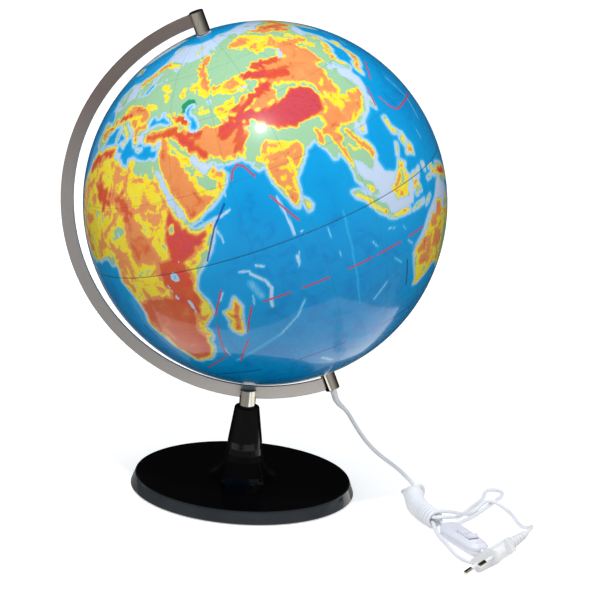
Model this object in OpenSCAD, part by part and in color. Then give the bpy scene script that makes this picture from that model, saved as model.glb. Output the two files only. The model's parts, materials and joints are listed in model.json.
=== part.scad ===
// Illuminated desktop globe on a weighted stand, with its mains lead, switch and plug.
// Millimetres, +Z up. The origin is the centre of the base on the table.
// The ball turns about an axis that leans towards -X; the arm lies in a plane of constant Y.

/* [Ball] */
// Outer diameter of the ball
ball_d = 320; // [300:5:330]
// Wall thickness of the two hemispheres
ball_wall = 2; // [1.5:0.5:3]
// Lean of the spin axis from the vertical, degrees
tilt = 23; // [20:0.5:25]
// Height of the ball's centre above the table
ball_z = 263.5; // [263:0.5:264]

/* [Meridian arm] */
// Inner radius of the arm, about the ball's centre
arm_inner_r = 168.4; // [168:0.2:169]
// Radial width of the arm
arm_w = 11.6; // [11:0.2:12]
// Thickness of the arm
arm_t = 3; // [2.5:0.5:3.5]
// Outer diameter of the sleeves at both poles
sleeve_d = 13; // [12.5:0.5:14]

/* [Stand] */
// Diameter of the base at its foot
base_d = 200; // [198:2:206]
// Height of the base disc's top above the table
base_h = 12; // [12:0.5:13]
// Height of the column's top above the table
column_h = 78; // [74:1:80]
// Diameter of the column at its top
column_top_d = 22.3; // [20:0.1:24]
// Diameter of the chrome post
post_d = 14.5; // [14:0.5:15]

/* [Lead, switch and plug] */
// Diameter of the mains lead
cord_d = 3.6; // [3.4:0.1:3.8]
// Length of the in-line switch
switch_l = 62; // [58:1:62]
// Width of the in-line switch
switch_w = 20; // [18:1:20]
// Diameter of the plug's pins
pin_d = 4; // [4:0.1:4.2]

/* [Hidden] */
$fn = 96;

// ---- Ball and axis. Places along the axis are measured from the ball's centre, north is plus.
ball_c = [4.5, 6, ball_z];
ball_r = ball_d / 2;
inner_r = ball_r - ball_wall;
bush_r = 7;
plate_r = 25;
ring_h = 16;
ring_t = 1.6;
pin_r = 2.5;
tube_r = 5;
running_gap = 0.05;
holder_z = -134;
cap_z = -84;

// ---- Arm and sleeves
arm_outer_r = arm_inner_r + arm_w;
arm_mid_r = arm_inner_r + arm_w / 2;
arm_chamfer = 0.4;
sleeve_r = sleeve_d / 2;
sleeve_near = 161;
sleeve_far = arm_outer_r + 1;
sleeve_l = sleeve_far - sleeve_near;
tube_foot = 2 - sleeve_far;
arm_end_gap = 5.4;
arm_end_angle = asin(arm_end_gap / arm_mid_r);
slot_play = 0.05;

// ---- Stand
base_r = base_d / 2;
pad_h = 1;
pad_r = 88;
base_wall = 3;
rim_slope = 4.3;
cover_r = 92;
cover_t = 1.4;
cover_top = pad_h + cover_t;
cover_head_r = 2.6;
cover_head_h = 0.7;
flare_r = 32.5;
flare_h = 34;
neck_r = 15.4;
weight_r = 87;
weight_hole_r = 15;
weight_z = 2.4;
weight_h = 6;
boss_ring_r = 50;
boss_r = 4;
hub_z = 10;
post_r = post_d / 2;
post_top = 93.2;
stud_r = 5;
arm_back = ball_c[1] + arm_t / 2;
arm_front = ball_c[1] - arm_t / 2;
shoulder_z = ball_z - arm_outer_r - 0.1;
arm_screw_z = 88.2;
arm_screw_r = 2;

// ---- Switch, in its own frame: +X runs from the bundle to the plug
switch_c = [196.2, -112.4, 0];
switch_turn = -61.5;
switch_z0 = 0.2;
switch_split = 6;
switch_top = 12.2;
switch_wall = 1.4;
rocker_x = 6;
rocker_z = 9.4;
rocker_l = 19.6;
rocker_w = 9;
rocker_rest = 7.5;
rocker_pin_r = 1.2;
lug_y = rocker_w / 2 + 0.4;

// ---- Plug, in its own frame: +X is the way the pins point, from the front face
plug_face = [211.4, -183, 13.6];
plug_turn = [37, 10, 232];
plug_l = 33;
plug_w = 35.3;
plug_t = 13.7;
plug_neck_w = 13;
relief_l = 26;
pin_gap = 18.6;
pin_l = 19;
pin_sleeve_l = 10;
plug_pin_r = pin_d / 2;
pin_core_r = plug_pin_r - 0.8;

// ---- Lead: centre lines, one point a ring
cord_r = cord_d / 2;
relief_points = [
    [75.2, 6, 96.9], [77, 6, 92.3], [78.6, 6, 87.5], [81.6, 6.2, 83.4], [85.8, 6.6, 79.8]
];
relief_radii = [3.1, 2.9, 2.7, 2.4, 2.1];
lead_points = [
    [85.8, 6.6, 79.8], [90.4, 7, 74.8], [94.6, 7, 68.6], [99, 7.2, 62], [103.6, 7.4, 55.6],
    [109.6, 7.6, 48.2], [117, 7.8, 41], [125.6, 8.2, 34.2], [134.6, 8.4, 28], [141.4, 8, 23],
    [147.6, 6, 18], [152.4, 2.4, 14.2]
];
hank_points = [
    [152.8, 9.6, 9.05], [152.9, 7.6, 9.05], [153, 3.6, 9.05], [153.3, -4, 9.05],
    [153.8, -14, 9.05], [154.4, -25, 9.05], [155.6, -36, 9.05], [158.2, -46.5, 9.05],
    [162, -56.5, 9.05], [166.6, -66, 9.05], [172, -75, 9.05]
];
hank_radii = [3, 6, 8.4, 9, 9, 9, 9, 9, 9, 9, 9];
loop_points = [
    [169.7, -75.8, 11.6], [172.4, -79, 12.5], [176.2, -80.1, 13.4], [180, -79, 13.4],
    [182.6, -76.2, 12.4], [185, -70.4, 10.6], [187.8, -62.8, 7.8], [190.8, -54, 4.8],
    [194.8, -43, 2.6], [200.2, -30, 2], [205.8, -17, 2], [211.2, -4.6, 2], [216, 8, 2],
    [218.6, 18.6, 2], [220.2, 28.4, 2], [224.8, 35, 2], [231.6, 35.2, 2], [235.2, 29, 2],
    [233.8, 19, 2], [229.2, 8, 2], [223.4, -5, 2], [217.4, -18, 2], [211.4, -31, 2],
    [205, -45, 2.8], [198.8, -57, 3.8], [193.2, -67, 4.4],
    [188.4, -74, 4.6], [183, -76.9, 4.9], [177.8, -76.5, 5.5], [174.2, -73.4, 6.3]
];
lower_run_points = [
    [169.4, -75.2, 6.5], [171.4, -83, 5], [173.6, -92, 3.2], [176.4, -101.8, 2.1],
    [180.2, -112.4, 2], [183.6, -123.6, 2], [186.8, -134.6, 2], [190.8, -145, 2],
    [196.8, -153.6, 2], [205, -158, 2], [213, -156.6, 2.6], [217, -151.4, 4.4],
    [215, -146, 5.8], [211, -139.7, 6.2]
];
link_points = [[174.4, -74, 11.5], [176.5, -77.6, 10], [179, -81.2, 7.8], [181.4, -85.2, 6.2]];
tail_points = [
    [172.2, -74.4, 16], [177.4, -70.8, 15.8], [182.8, -66.8, 14.6], [188.6, -61.4, 12.2],
    [194.4, -54, 8.8], [199.6, -45, 5.2], [204.8, -34.6, 2.7], [209.6, -24.6, 2.8],
    [215.2, -15, 5.2], [222.6, -8.4, 6.5], [230.6, -9.8, 4.4], [237, -16.6, 2.4],
    [241, -26, 2], [243.8, -36.8, 2], [246, -48.6, 2.2], [248, -60.6, 3.6],
    [250.2, -72.8, 6.6], [252.2, -84.8, 10.8], [253.6, -97, 16], [254, -108.8, 20.6],
    [253, -120, 23.6], [250.4, -130, 24.4], [247.2, -137.2, 23.9]
];

// ---- Functions and shared shapes
function unit(v) = v / norm(v);

// Direction of a centre line at its point i
function heading(p, i) = unit(p[min(i + 1, len(p) - 1)] - p[max(i - 1, 0)]);

// Ring of n points round p, square to the direction t
function ring(p, t, r, n) =
    let (s = unit(cross(t, [0, 0, 1])), u = cross(s, t))
    [for (k = [0:n - 1]) p + r * (cos(360 * k / n) * s + sin(360 * k / n) * u)];

// Triangles between ring i and the next, n points a ring
function band(i, n) = [
    for (k = [0:n - 1]) each [
        [i * n + k, i * n + (k + 1) % n, (i + 1) * n + k],
        [i * n + (k + 1) % n, (i + 1) * n + (k + 1) % n, (i + 1) * n + k]
    ]
];

// Round tube along the points p, with radius r[i] at each of them
module tube(p, r, n) {
    rings = [for (i = [0:len(p) - 1]) each ring(p[i], heading(p, i), r[i], n)];
    last = len(p) - 1;
    sides = [for (i = [0:last - 1]) each band(i, n)];
    first_cap = [[for (k = [n - 1:-1:0]) k]];
    last_cap = [[for (k = [0:n - 1]) last * n + k]];
    polyhedron(points = rings, faces = concat(sides, first_cap, last_cap));
}

// Plain length of lead along the points p
module cord(p) {
    tube(p, [for (q = p) cord_r], 8);
}

// Places children on the spin axis, with +Z pointing to the north pole
module on_axis() {
    translate(ball_c)
        rotate([0, -tilt, 0])
            children();
}

module at_switch() {
    translate(switch_c)
        rotate([0, 0, switch_turn])
            children();
}

module at_plug() {
    translate(plug_face)
        rotate(plug_turn)
            children();
}

// Straight round bar with both end edges chamfered
module chamfered_bar(r, h, c) {
    rotate_extrude()
        polygon([[0, 0], [r - c, 0], [r, c], [r, h - c], [r - c, h], [0, h]]);
}

// ---- Stand
// Outline of the base from the rim, over the flare, to the column's top
function shell_outline() = concat(
    [[0, hub_z], [14, hub_z], [14, base_h - base_wall]],
    [[base_r - 7.5, base_h - base_wall], [base_r - 7.5, pad_h], [base_r - 0.6, pad_h]],
    [[base_r, pad_h + 0.7], [base_r - rim_slope + 0.9, base_h - 1.2]],
    [for (a = [25:25:75]) [
        base_r - rim_slope - 0.3 + 1.2 * cos(a), base_h - 1.2 + 1.2 * sin(a)
    ]],
    [[base_r - rim_slope - 0.5, base_h]],
    [for (a = [0:10:90]) [
        flare_r - (flare_r - neck_r) * sin(a), base_h + flare_h * (1 - cos(a))
    ]],
    [for (a = [0:30:90]) [
        column_top_d / 2 - 1.5 * (1 - cos(a)), column_h - 1.5 * (1 - sin(a))
    ]],
    [[0, column_h]]
);

module base_shell() {
    color([0.02, 0.02, 0.022])
        difference() {
            union() {
                rotate_extrude() polygon(shell_outline());
                for (a = [30:120:270])
                    rotate([0, 0, a])
                        translate([boss_ring_r, 0, cover_top])
                            cylinder(r = boss_r, h = base_h - base_wall - cover_top + 0.5);
            }
            translate([0, 0, hub_z - 1]) cylinder(r = stud_r, h = column_h);
            for (a = [30:120:270])
                rotate([0, 0, a])
                    translate([boss_ring_r, 0, cover_top - 1]) cylinder(r = 1.5, h = 6.6);
        }
}

module base_weight() {
    color([0.2, 0.2, 0.21])
        difference() {
            translate([0, 0, weight_z]) cylinder(r = weight_r, h = weight_h);
            translate([0, 0, weight_z - 1]) cylinder(r = weight_hole_r, h = weight_h + 2);
            for (a = [30:120:270])
                rotate([0, 0, a])
                    translate([boss_ring_r, 0, weight_z - 1])
                        cylinder(r = boss_r + 0.6, h = weight_h + 2);
        }
}

module base_cover() {
    color([0.08, 0.08, 0.08])
        difference() {
            translate([0, 0, pad_h]) cylinder(r = cover_r, h = cover_t);
            for (a = [30:120:270])
                rotate([0, 0, a])
                    translate([boss_ring_r, 0, pad_h - 1]) {
                        cylinder(r = 1.7, h = cover_t + 2);
                        cylinder(r = cover_head_r + 0.3, h = 1 + cover_head_h + 0.1);
                    }
        }
}

// Pan-head screw standing head down with the head under z = 0 and the shank above it
module screw(shank_r, shank_l, head_r, head_h) {
    difference() {
        union() {
            translate([0, 0, -0.5]) cylinder(r = shank_r, h = shank_l + 0.5);
            translate([0, 0, -head_h]) cylinder(r = head_r, h = head_h);
        }
        for (a = [0, 90])
            rotate([0, 0, a])
                translate([-head_r * 0.6, -0.4, -head_h - 0.5])
                    cube([head_r * 1.2, 0.8, head_h * 0.6 + 0.5]);
    }
}

module cover_screw(i) {
    color([0.7, 0.7, 0.72])
        rotate([0, 0, 30 + 120 * (i - 1)])
            translate([boss_ring_r, 0, pad_h + cover_head_h + 0.1])
                screw(1.5, 5.6, cover_head_r, cover_head_h);
}

module foot_pad() {
    color([0.12, 0.12, 0.12])
        cylinder(r = pad_r, h = pad_h);
}

// Chrome post: the back is milled flat above a shoulder that carries the arm
module support_post() {
    color([0.82, 0.83, 0.85])
        difference() {
            union() {
                translate([0, 0, column_h])
                    chamfered_bar(post_r, post_top - column_h, 0.5);
                translate([0, 0, cover_top + 0.4])
                    cylinder(r = stud_r, h = column_h - cover_top);
            }
            translate([-post_r - 1, arm_front, shoulder_z])
                cube([post_d + 2, post_d, post_top]);
            translate([0, arm_front + 1, arm_screw_z])
                rotate([90, 0, 0]) cylinder(r = arm_screw_r, h = 9);
        }
}

module post_washer() {
    color([0.6, 0.6, 0.62])
        difference() {
            translate([0, 0, hub_z - 1]) cylinder(r = 10, h = 1);
            translate([0, 0, hub_z - 2]) cylinder(r = stud_r, h = 3);
        }
}

module post_nut() {
    color([0.75, 0.75, 0.77])
        difference() {
            translate([0, 0, hub_z - 7]) cylinder(r = 9.2, h = 6, $fn = 6);
            translate([0, 0, hub_z - 8]) cylinder(r = stud_r, h = 8);
        }
}

module arm_screw() {
    color([0.78, 0.78, 0.8])
        translate([0, arm_back, arm_screw_z])
            rotate([90, 0, 0])
                screw(arm_screw_r, arm_t + 7, 3.6, 2.2);
}

// ---- Arm and pivots
// Half ring of rectangular section from pole to pole, by way of the left and the bottom
module arm_ring() {
    c = arm_chamfer;
    t = arm_t / 2;
    translate(ball_c)
        rotate([90, 0, 0])
            rotate([0, 0, 90 + tilt + arm_end_angle])
                rotate_extrude(angle = 180 - 2 * arm_end_angle, $fn = 180)
                    polygon([
                        [arm_inner_r + c, -t], [arm_outer_r - c, -t], [arm_outer_r, c - t],
                        [arm_outer_r, t - c], [arm_outer_r - c, t], [arm_inner_r + c, t],
                        [arm_inner_r, t - c], [arm_inner_r, c - t]
                    ]);
}

module meridian_arm() {
    color([0.66, 0.65, 0.63])
        difference() {
            arm_ring();
            translate([0, arm_back + 1, arm_screw_z])
                rotate([90, 0, 0]) cylinder(r = arm_screw_r, h = arm_t + 2);
        }
}

// Slot through the wall of a sleeve for the arm's end, square hole for its grub screw opposite
module sleeve_cuts() {
    translate([-sleeve_r - 1, -arm_t / 2 - slot_play, arm_inner_r - 0.4])
        cube([sleeve_r + 1 - arm_end_gap + 0.3, arm_t + 2 * slot_play, arm_w + 0.5]);
    translate([0, 0, arm_mid_r])
        rotate([-90, 0, 0]) cylinder(r = 1.5, h = sleeve_d);
}

module upper_sleeve() {
    color([0.82, 0.83, 0.85])
        on_axis()
            difference() {
                translate([0, 0, sleeve_near]) chamfered_bar(sleeve_r, sleeve_l, 0.5);
                translate([0, 0, sleeve_near - 1]) cylinder(r = pin_r, h = sleeve_l - 2);
                sleeve_cuts();
            }
}

module upper_pin() {
    color([0.7, 0.7, 0.72])
        on_axis()
            translate([0, 0, inner_r - 12])
                cylinder(r = pin_r, h = sleeve_far - 3 - inner_r + 12);
}

module grub_screw(reach) {
    difference() {
        translate([0, reach, 0])
            rotate([-90, 0, 0]) cylinder(r = 1.5, h = sleeve_r - 0.4 - reach);
        translate([0, sleeve_r - 1.4, 0])
            rotate([-90, 0, 0]) cylinder(r = 0.9, h = 2, $fn = 6);
    }
}

module upper_grub_screw() {
    color([0.15, 0.15, 0.16])
        on_axis()
            translate([0, 0, arm_mid_r]) grub_screw(pin_r + 0.05);
}

module lower_sleeve() {
    color([0.82, 0.83, 0.85])
        on_axis()
            mirror([0, 0, 1])
                difference() {
                    translate([0, 0, sleeve_near]) chamfered_bar(sleeve_r, sleeve_l, 0.5);
                    translate([0, 0, sleeve_near - 1]) cylinder(r = tube_r, h = sleeve_l + 2);
                    sleeve_cuts();
                }
}

module lower_grub_screw() {
    color([0.15, 0.15, 0.16])
        on_axis()
            translate([0, 0, -arm_mid_r]) grub_screw(tube_r + 0.05);
}

// Hollow pivot through which the lead enters the ball
module lamp_tube() {
    color([0.72, 0.72, 0.7])
        on_axis()
            difference() {
                translate([0, 0, tube_foot]) cylinder(r = tube_r, h = holder_z + 6.8 - tube_foot);
                translate([0, 0, tube_foot - 1]) cylinder(r = 3.3, h = 60);
            }
}

module tube_nut() {
    color([0.75, 0.62, 0.3])
        on_axis()
            difference() {
                translate([0, 0, holder_z - 4]) cylinder(r = 8, h = 4, $fn = 6);
                translate([0, 0, holder_z - 5]) cylinder(r = tube_r, h = 6);
            }
}

// ---- Lamp
module lamp_holder() {
    color([0.9, 0.89, 0.86])
        on_axis()
            rotate_extrude()
                polygon([
                    [tube_r, holder_z], [11, holder_z], [13.5, holder_z + 3], [13.5, cap_z],
                    [12.2, cap_z + 1], [8.4, cap_z + 1], [8.4, -112], [2.2, -112],
                    [2.2, -118], [4, -118], [4, holder_z + 7], [tube_r, holder_z + 7]
                ]);
}

module lamp_shell() {
    color([0.8, 0.65, 0.3])
        on_axis()
            rotate_extrude()
                polygon([
                    [7.4, -110], [8.3, -110], [8.3, -87], [7.4, -87]
                ]);
}

module lamp_contact() {
    color([0.8, 0.65, 0.3])
        on_axis()
            translate([0, 0, -118]) cylinder(r = 2.2, h = 8.2);
}

module bulb_cap() {
    color([0.75, 0.75, 0.72])
        on_axis()
            rotate_extrude()
                polygon([
                    [0, -109.8], [2.5, -109.8], [4.5, -107], [6.9, -106], [6.9, cap_z], [0, cap_z]
                ]);
}

module bulb_glass() {
    color([0.95, 0.95, 0.92, 0.4])
        on_axis()
            rotate_extrude()
                polygon(concat(
                    [[6.3, cap_z], [7.2, cap_z]],
                    [for (a = [-60:15:90]) [17.5 * cos(a), -50 + 17.5 * sin(a)]],
                    [for (a = [90:-15:-60]) [16.5 * cos(a), -50 + 16.5 * sin(a)]]
                ));
}

module bulb_filament() {
    color([0.6, 0.6, 0.62])
        on_axis() {
            translate([0, 0, cap_z]) cylinder(r1 = 3, r2 = 1.2, h = 26.4);
            for (x = [-5, 5])
                translate([x * 0.1, 0, -58])
                    rotate([0, x * 5, 0]) cylinder(r = 0.4, h = 12);
            translate([-5.5, 0, -47.2])
                rotate([0, 90, 0]) cylinder(r = 0.6, h = 11);
        }
}

module inner_lead() {
    color([0.92, 0.92, 0.92])
        on_axis()
            translate([0, 0, tube_foot + 0.5]) cylinder(r = cord_r, h = 50);
}

// ---- Ball
// Northern half of a hollow ball, flat at the seam and open at the pole
module half_shell(pole_hole) {
    difference() {
        sphere(r = ball_r, $fn = 180);
        sphere(r = inner_r, $fn = 180);
        translate([0, 0, -2 * ball_r]) cube([4 * ball_r, 4 * ball_r, 4 * ball_r], center = true);
        cylinder(r = pole_hole, h = 2 * ball_r);
    }
}

module north_half() {
    color([0.1, 0.5, 0.8])
        on_axis() half_shell(bush_r);
}

module south_half() {
    color([0.1, 0.5, 0.8])
        on_axis()
            mirror([0, 0, 1]) half_shell(plate_r);
}

module equator_ring() {
    color([0.9, 0.9, 0.9])
        on_axis()
            difference() {
                translate([0, 0, -ring_h / 2]) cylinder(r = inner_r - 0.25, h = ring_h);
                translate([0, 0, -ring_h]) cylinder(r = inner_r - ring_t, h = 2 * ring_h);
            }
}

module north_bush() {
    color([0.85, 0.85, 0.86])
        on_axis()
            difference() {
                union() {
                    translate([0, 0, inner_r - 4]) cylinder(r = bush_r, h = ball_wall + 3.9);
                    translate([0, 0, inner_r - 6]) cylinder(r = bush_r + 4, h = 5.6);
                }
                translate([0, 0, inner_r - 8])
                    cylinder(r = pin_r + running_gap, h = 12);
            }
}

// Plate that closes the lower opening and runs on the lamp tube
module south_bush() {
    plate_z = sqrt(inner_r * inner_r - plate_r * plate_r);
    color([0.1, 0.45, 0.75])
        on_axis()
            mirror([0, 0, 1])
                difference() {
                    union() {
                        intersection() {
                            difference() {
                                sphere(r = ball_r, $fn = 180);
                                sphere(r = inner_r, $fn = 180);
                            }
                            cylinder(r = plate_r - 0.2, h = ball_r + 1);
                        }
                        translate([0, 0, inner_r - 6]) cylinder(r = tube_r + 3, h = 7.6);
                        translate([0, 0, plate_z - 4])
                            cylinder(r = plate_r + 3, h = 3.4);
                    }
                    translate([0, 0, inner_r - 9])
                        cylinder(r = tube_r + running_gap, h = 15);
                }
}

// ---- Lead
module lead_relief() {
    color([0.93, 0.93, 0.95]) {
        tube(relief_points, relief_radii, 12);
        on_axis()
            translate([0, 0, -sleeve_far - 0.3]) cylinder(r = tube_r - 0.1, h = 2.2);
    }
}

module cord_lead() {
    color([0.93, 0.93, 0.95]) cord(lead_points);
}

module cord_hank() {
    color([0.93, 0.93, 0.95]) tube(hank_points, hank_radii, 12);
}

module cord_loop() {
    color([0.93, 0.93, 0.95]) cord(loop_points);
}

module cord_lower_run() {
    color([0.93, 0.93, 0.95]) cord(lower_run_points);
}

module cord_link() {
    color([0.93, 0.93, 0.95]) cord(link_points);
}

module cord_tail() {
    color([0.93, 0.93, 0.95]) cord(tail_points);
}

// ---- Switch
// Boat-shaped outline of the switch, drawn smaller by the inset
module switch_outline(inset) {
    l = switch_l / 2 - inset;
    w = switch_w / 2 - inset;
    polygon([
        [-l, -w * 0.5], [-l * 0.86, -w * 0.86], [-l * 0.55, -w], [l * 0.55, -w],
        [l * 0.86, -w * 0.86], [l, -w * 0.5], [l, w * 0.5], [l * 0.86, w * 0.86],
        [l * 0.55, w], [-l * 0.55, w], [-l * 0.86, w * 0.86], [-l, w * 0.5]
    ]);
}

// Slab of the outline from z0 to z1, whose far face is drawn in by the inset
module pillow(z0, z1, inset, turn) {
    mid = (z0 + z1) / 2;
    wide = turn > 0 ? [z0, mid] : [mid, z1];
    hull() {
        translate([0, 0, wide[0]])
            linear_extrude(wide[1] - wide[0]) switch_outline(0);
        translate([0, 0, z0])
            linear_extrude(z1 - z0) switch_outline(inset);
    }
}

module switch_lower_shell() {
    color([0.9, 0.9, 0.95])
        at_switch()
            difference() {
                pillow(switch_z0, switch_split, 2.6, -1);
                translate([0, 0, switch_z0 + switch_wall])
                    linear_extrude(switch_top) switch_outline(switch_wall + 1.2);
                for (x = [-switch_l / 2, switch_l / 2])
                    translate([x - 5, 0, switch_split])
                        rotate([0, 90, 0]) cylinder(r = cord_r + 0.1, h = 10);
                for (x = [-21, 23])
                    translate([x, 0, switch_z0 - 1]) cylinder(r = 1.3, h = 4);
            }
}

module switch_upper_shell() {
    slot_l = rocker_l + 2.2;
    slot_w = 2 * lug_y;
    color([0.9, 0.9, 0.95])
        at_switch()
            difference() {
                union() {
                    difference() {
                        pillow(switch_split, switch_top, 2.6, 1);
                        translate([0, 0, switch_split - 1])
                            linear_extrude(switch_top - switch_split - switch_wall + 1)
                                switch_outline(switch_wall + 2.4);
                    }
                    for (y = [-lug_y - 1.7, lug_y])
                        translate([rocker_x - 3, y, switch_split + 0.6])
                            cube([6, 1.7, switch_top - switch_split - 1]);
                }
                translate([rocker_x - slot_l / 2, -slot_w / 2, switch_split - 1])
                    cube([slot_l, slot_w, switch_top]);
                translate([rocker_x, lug_y + 1.5, rocker_z])
                    rotate([90, 0, 0])
                        cylinder(r = rocker_pin_r + running_gap, h = 2 * lug_y + 3);
                for (x = [-switch_l / 2, switch_l / 2])
                    translate([x - 5, 0, switch_split])
                        rotate([0, 90, 0]) cylinder(r = cord_r + 0.1, h = 10);
            }
}

// Seesaw button, drawn tipped towards its resting side, with its pin in the bearing lugs
module switch_rocker() {
    h = rocker_l / 2;
    color([0.93, 0.93, 0.97])
        at_switch()
            translate([rocker_x, 0, rocker_z])
                rotate([0, -rocker_rest, 0])
                    rotate([90, 0, 0]) {
                        translate([0, 0, -rocker_w / 2])
                            linear_extrude(rocker_w)
                                polygon([
                                    [-h, 1.6], [-h + 0.3, 5.6], [-h + 1.2, 6.2], [0, 4.6],
                                    [h - 1.2, 6.2], [h - 0.3, 5.6], [h, 1.6], [4, -2],
                                    [-4, -2]
                                ]);
                        translate([0, 0, -lug_y - 1.2])
                            cylinder(r = rocker_pin_r, h = 2 * lug_y + 2.4);
                    }
}

module switch_contact(x) {
    color([0.8, 0.62, 0.3])
        at_switch()
            translate([x, -2, switch_z0 + switch_wall])
                cube([6, 4, 2.2]);
}

module switch_screw(x) {
    color([0.7, 0.7, 0.72])
        at_switch()
            translate([x, 0, switch_z0 + 0.9])
                screw(1.3, 3.4, 1.3, 0.6);
}

// ---- Plug
// Outline of the plug seen from above, full width at the face and narrow at the neck
module plug_outline() {
    w = plug_w / 2;
    n = plug_neck_w / 2;
    polygon([
        [0, -w + 2.5], [-1.2, -w + 0.6], [-3, -w], [-11, -w], [-15, -w + 1.8],
        [-plug_l + 7, -n - 1.6], [-plug_l, -n], [-plug_l, n], [-plug_l + 7, n + 1.6],
        [-15, w - 1.8], [-11, w], [-3, w], [-1.2, w - 0.6], [0, w - 2.5]
    ]);
}

module plug_section() {
    r = plug_t / 2;
    reach = plug_w / 2 - r;
    square([2 * reach, plug_t], center = true);
    for (side = [-1, 1])
        translate([side * reach, 0]) circle(r = r);
}

module plug_body() {
    color([0.93, 0.94, 0.94])
        at_plug()
            difference() {
                intersection() {
                    translate([0, 0, -plug_t])
                        linear_extrude(2 * plug_t) plug_outline();
                    rotate([90, 0, 90])
                        translate([0, 0, -plug_l - 1])
                            linear_extrude(plug_l + 2) plug_section();
                }
                for (side = [-1, 1])
                    translate([-12, side * pin_gap / 2, 0])
                        rotate([0, 90, 0]) cylinder(r = pin_core_r, h = 14);
            }
}

// Ribbed taper that keeps the lead from kinking behind the plug
module plug_relief() {
    ribs = 5;
    pitch = relief_l / (ribs + 0.4);
    color([0.93, 0.94, 0.94])
        at_plug()
            translate([-plug_l, 0, 0])
                rotate([0, -90, 0])
                    rotate_extrude()
                        polygon(concat(
                            [[0, 0]],
                            [for (i = [0:ribs - 1]) each [
                                [5.8 - 0.5 * i, i * pitch], [5.6 - 0.5 * i, (i + 0.62) * pitch],
                                [4.5 - 0.42 * i, (i + 0.66) * pitch],
                                [4.4 - 0.42 * i, (i + 0.96) * pitch]
                            ]],
                            [[2.9, ribs * pitch], [2.5, relief_l], [0, relief_l]]
                        ));
}

// Pin with a thin root that carries the insulating sleeve and a full-width tip
module plug_pin(side) {
    color([0.7, 0.7, 0.7])
        at_plug()
            translate([0, side * pin_gap / 2, 0])
                rotate([0, 90, 0]) {
                    translate([0, 0, -12]) cylinder(r = pin_core_r, h = 13 + pin_sleeve_l);
                    translate([0, 0, pin_sleeve_l])
                        cylinder(r = plug_pin_r, h = pin_l - pin_sleeve_l - 1.4);
                    translate([0, 0, pin_l - 1.4])
                        rotate_extrude()
                            polygon([
                                [0, 0], [plug_pin_r, 0], [plug_pin_r - 0.25, 0.7],
                                [plug_pin_r - 0.8, 1.2], [plug_pin_r - 1.5, 1.4], [0, 1.4]
                            ]);
                }
}

module pin_sleeve(side) {
    color([0.94, 0.94, 0.94])
        at_plug()
            translate([0, side * pin_gap / 2, 0])
                rotate([0, 90, 0])
                    difference() {
                        cylinder(r = plug_pin_r - 0.25, h = pin_sleeve_l);
                        translate([0, 0, -1])
                            cylinder(r = pin_core_r, h = pin_sleeve_l + 2);
                    }
}

// ---- Assembly
base_shell();
base_weight();
base_cover();
cover_screw(1);  // cover_screw_1
cover_screw(2);  // cover_screw_2
cover_screw(3);  // cover_screw_3
foot_pad();
support_post();
post_washer();
post_nut();
arm_screw();
meridian_arm();
upper_sleeve();
upper_pin();
upper_grub_screw();
lower_sleeve();
lower_grub_screw();
lamp_tube();
tube_nut();
lamp_holder();
lamp_shell();
lamp_contact();
bulb_cap();
bulb_glass();
bulb_filament();
inner_lead();
north_half();
south_half();
equator_ring();
north_bush();
south_bush();
lead_relief();
cord_lead();
cord_hank();
cord_loop();
cord_lower_run();
cord_link();
cord_tail();
switch_lower_shell();
switch_upper_shell();
switch_rocker();
switch_contact(-16);  // switch_contact_1
switch_contact(14.5);  // switch_contact_2
switch_screw(-21);  // switch_screw_1
switch_screw(23);  // switch_screw_2
plug_body();
plug_relief();
plug_pin(-1);  // plug_pin_1
plug_pin(1);  // plug_pin_2
pin_sleeve(-1);  // pin_sleeve_1
pin_sleeve(1);  // pin_sleeve_2
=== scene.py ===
"""The looks of a desktop globe on its stand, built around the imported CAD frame. Lengths are in metres."""
import json
import math

import bpy
import numpy as np
from mathutils import Matrix, Vector


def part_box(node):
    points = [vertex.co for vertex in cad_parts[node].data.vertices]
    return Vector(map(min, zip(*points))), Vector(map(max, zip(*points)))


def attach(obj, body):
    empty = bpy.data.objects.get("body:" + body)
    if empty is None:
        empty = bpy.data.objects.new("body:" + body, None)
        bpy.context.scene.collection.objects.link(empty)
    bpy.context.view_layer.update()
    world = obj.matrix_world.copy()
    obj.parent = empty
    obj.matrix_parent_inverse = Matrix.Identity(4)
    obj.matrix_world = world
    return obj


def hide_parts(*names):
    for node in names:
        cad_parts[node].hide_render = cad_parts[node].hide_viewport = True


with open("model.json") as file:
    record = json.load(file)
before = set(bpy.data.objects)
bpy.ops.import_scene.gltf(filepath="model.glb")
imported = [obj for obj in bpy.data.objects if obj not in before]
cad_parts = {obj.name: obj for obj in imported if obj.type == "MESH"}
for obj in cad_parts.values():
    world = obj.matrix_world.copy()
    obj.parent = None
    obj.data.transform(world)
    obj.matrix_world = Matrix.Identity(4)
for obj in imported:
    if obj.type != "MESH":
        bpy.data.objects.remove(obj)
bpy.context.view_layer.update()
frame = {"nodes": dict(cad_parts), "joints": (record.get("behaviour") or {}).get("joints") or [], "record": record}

MM = 0.001
NODES = frame["nodes"]
SPIN = next(joint for joint in frame["joints"] if joint["name"] == "globe_spin")
BALL_CENTRE = Vector(SPIN["pos_m"])
BALL_UP = Vector(SPIN["axis"]).normalized()
BALL_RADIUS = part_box("north_half")[1].y - BALL_CENTRE.y

# ---- Camera: looks along +Y, a little down, with the horizon turned a little
CAMERA_TARGET = Vector((0.0407, 0.006, 0.1772))
CAMERA_DISTANCE = 3.0
CAMERA_HEIGHT_ANGLE = math.radians(16.05)
CAMERA_ROLL = math.radians(3.86)
LENS = 203.3


def add_object(name, data):
    """A new object in the scene."""
    made = bpy.data.objects.new(name, data)
    bpy.context.scene.collection.objects.link(made)
    return made


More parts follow.
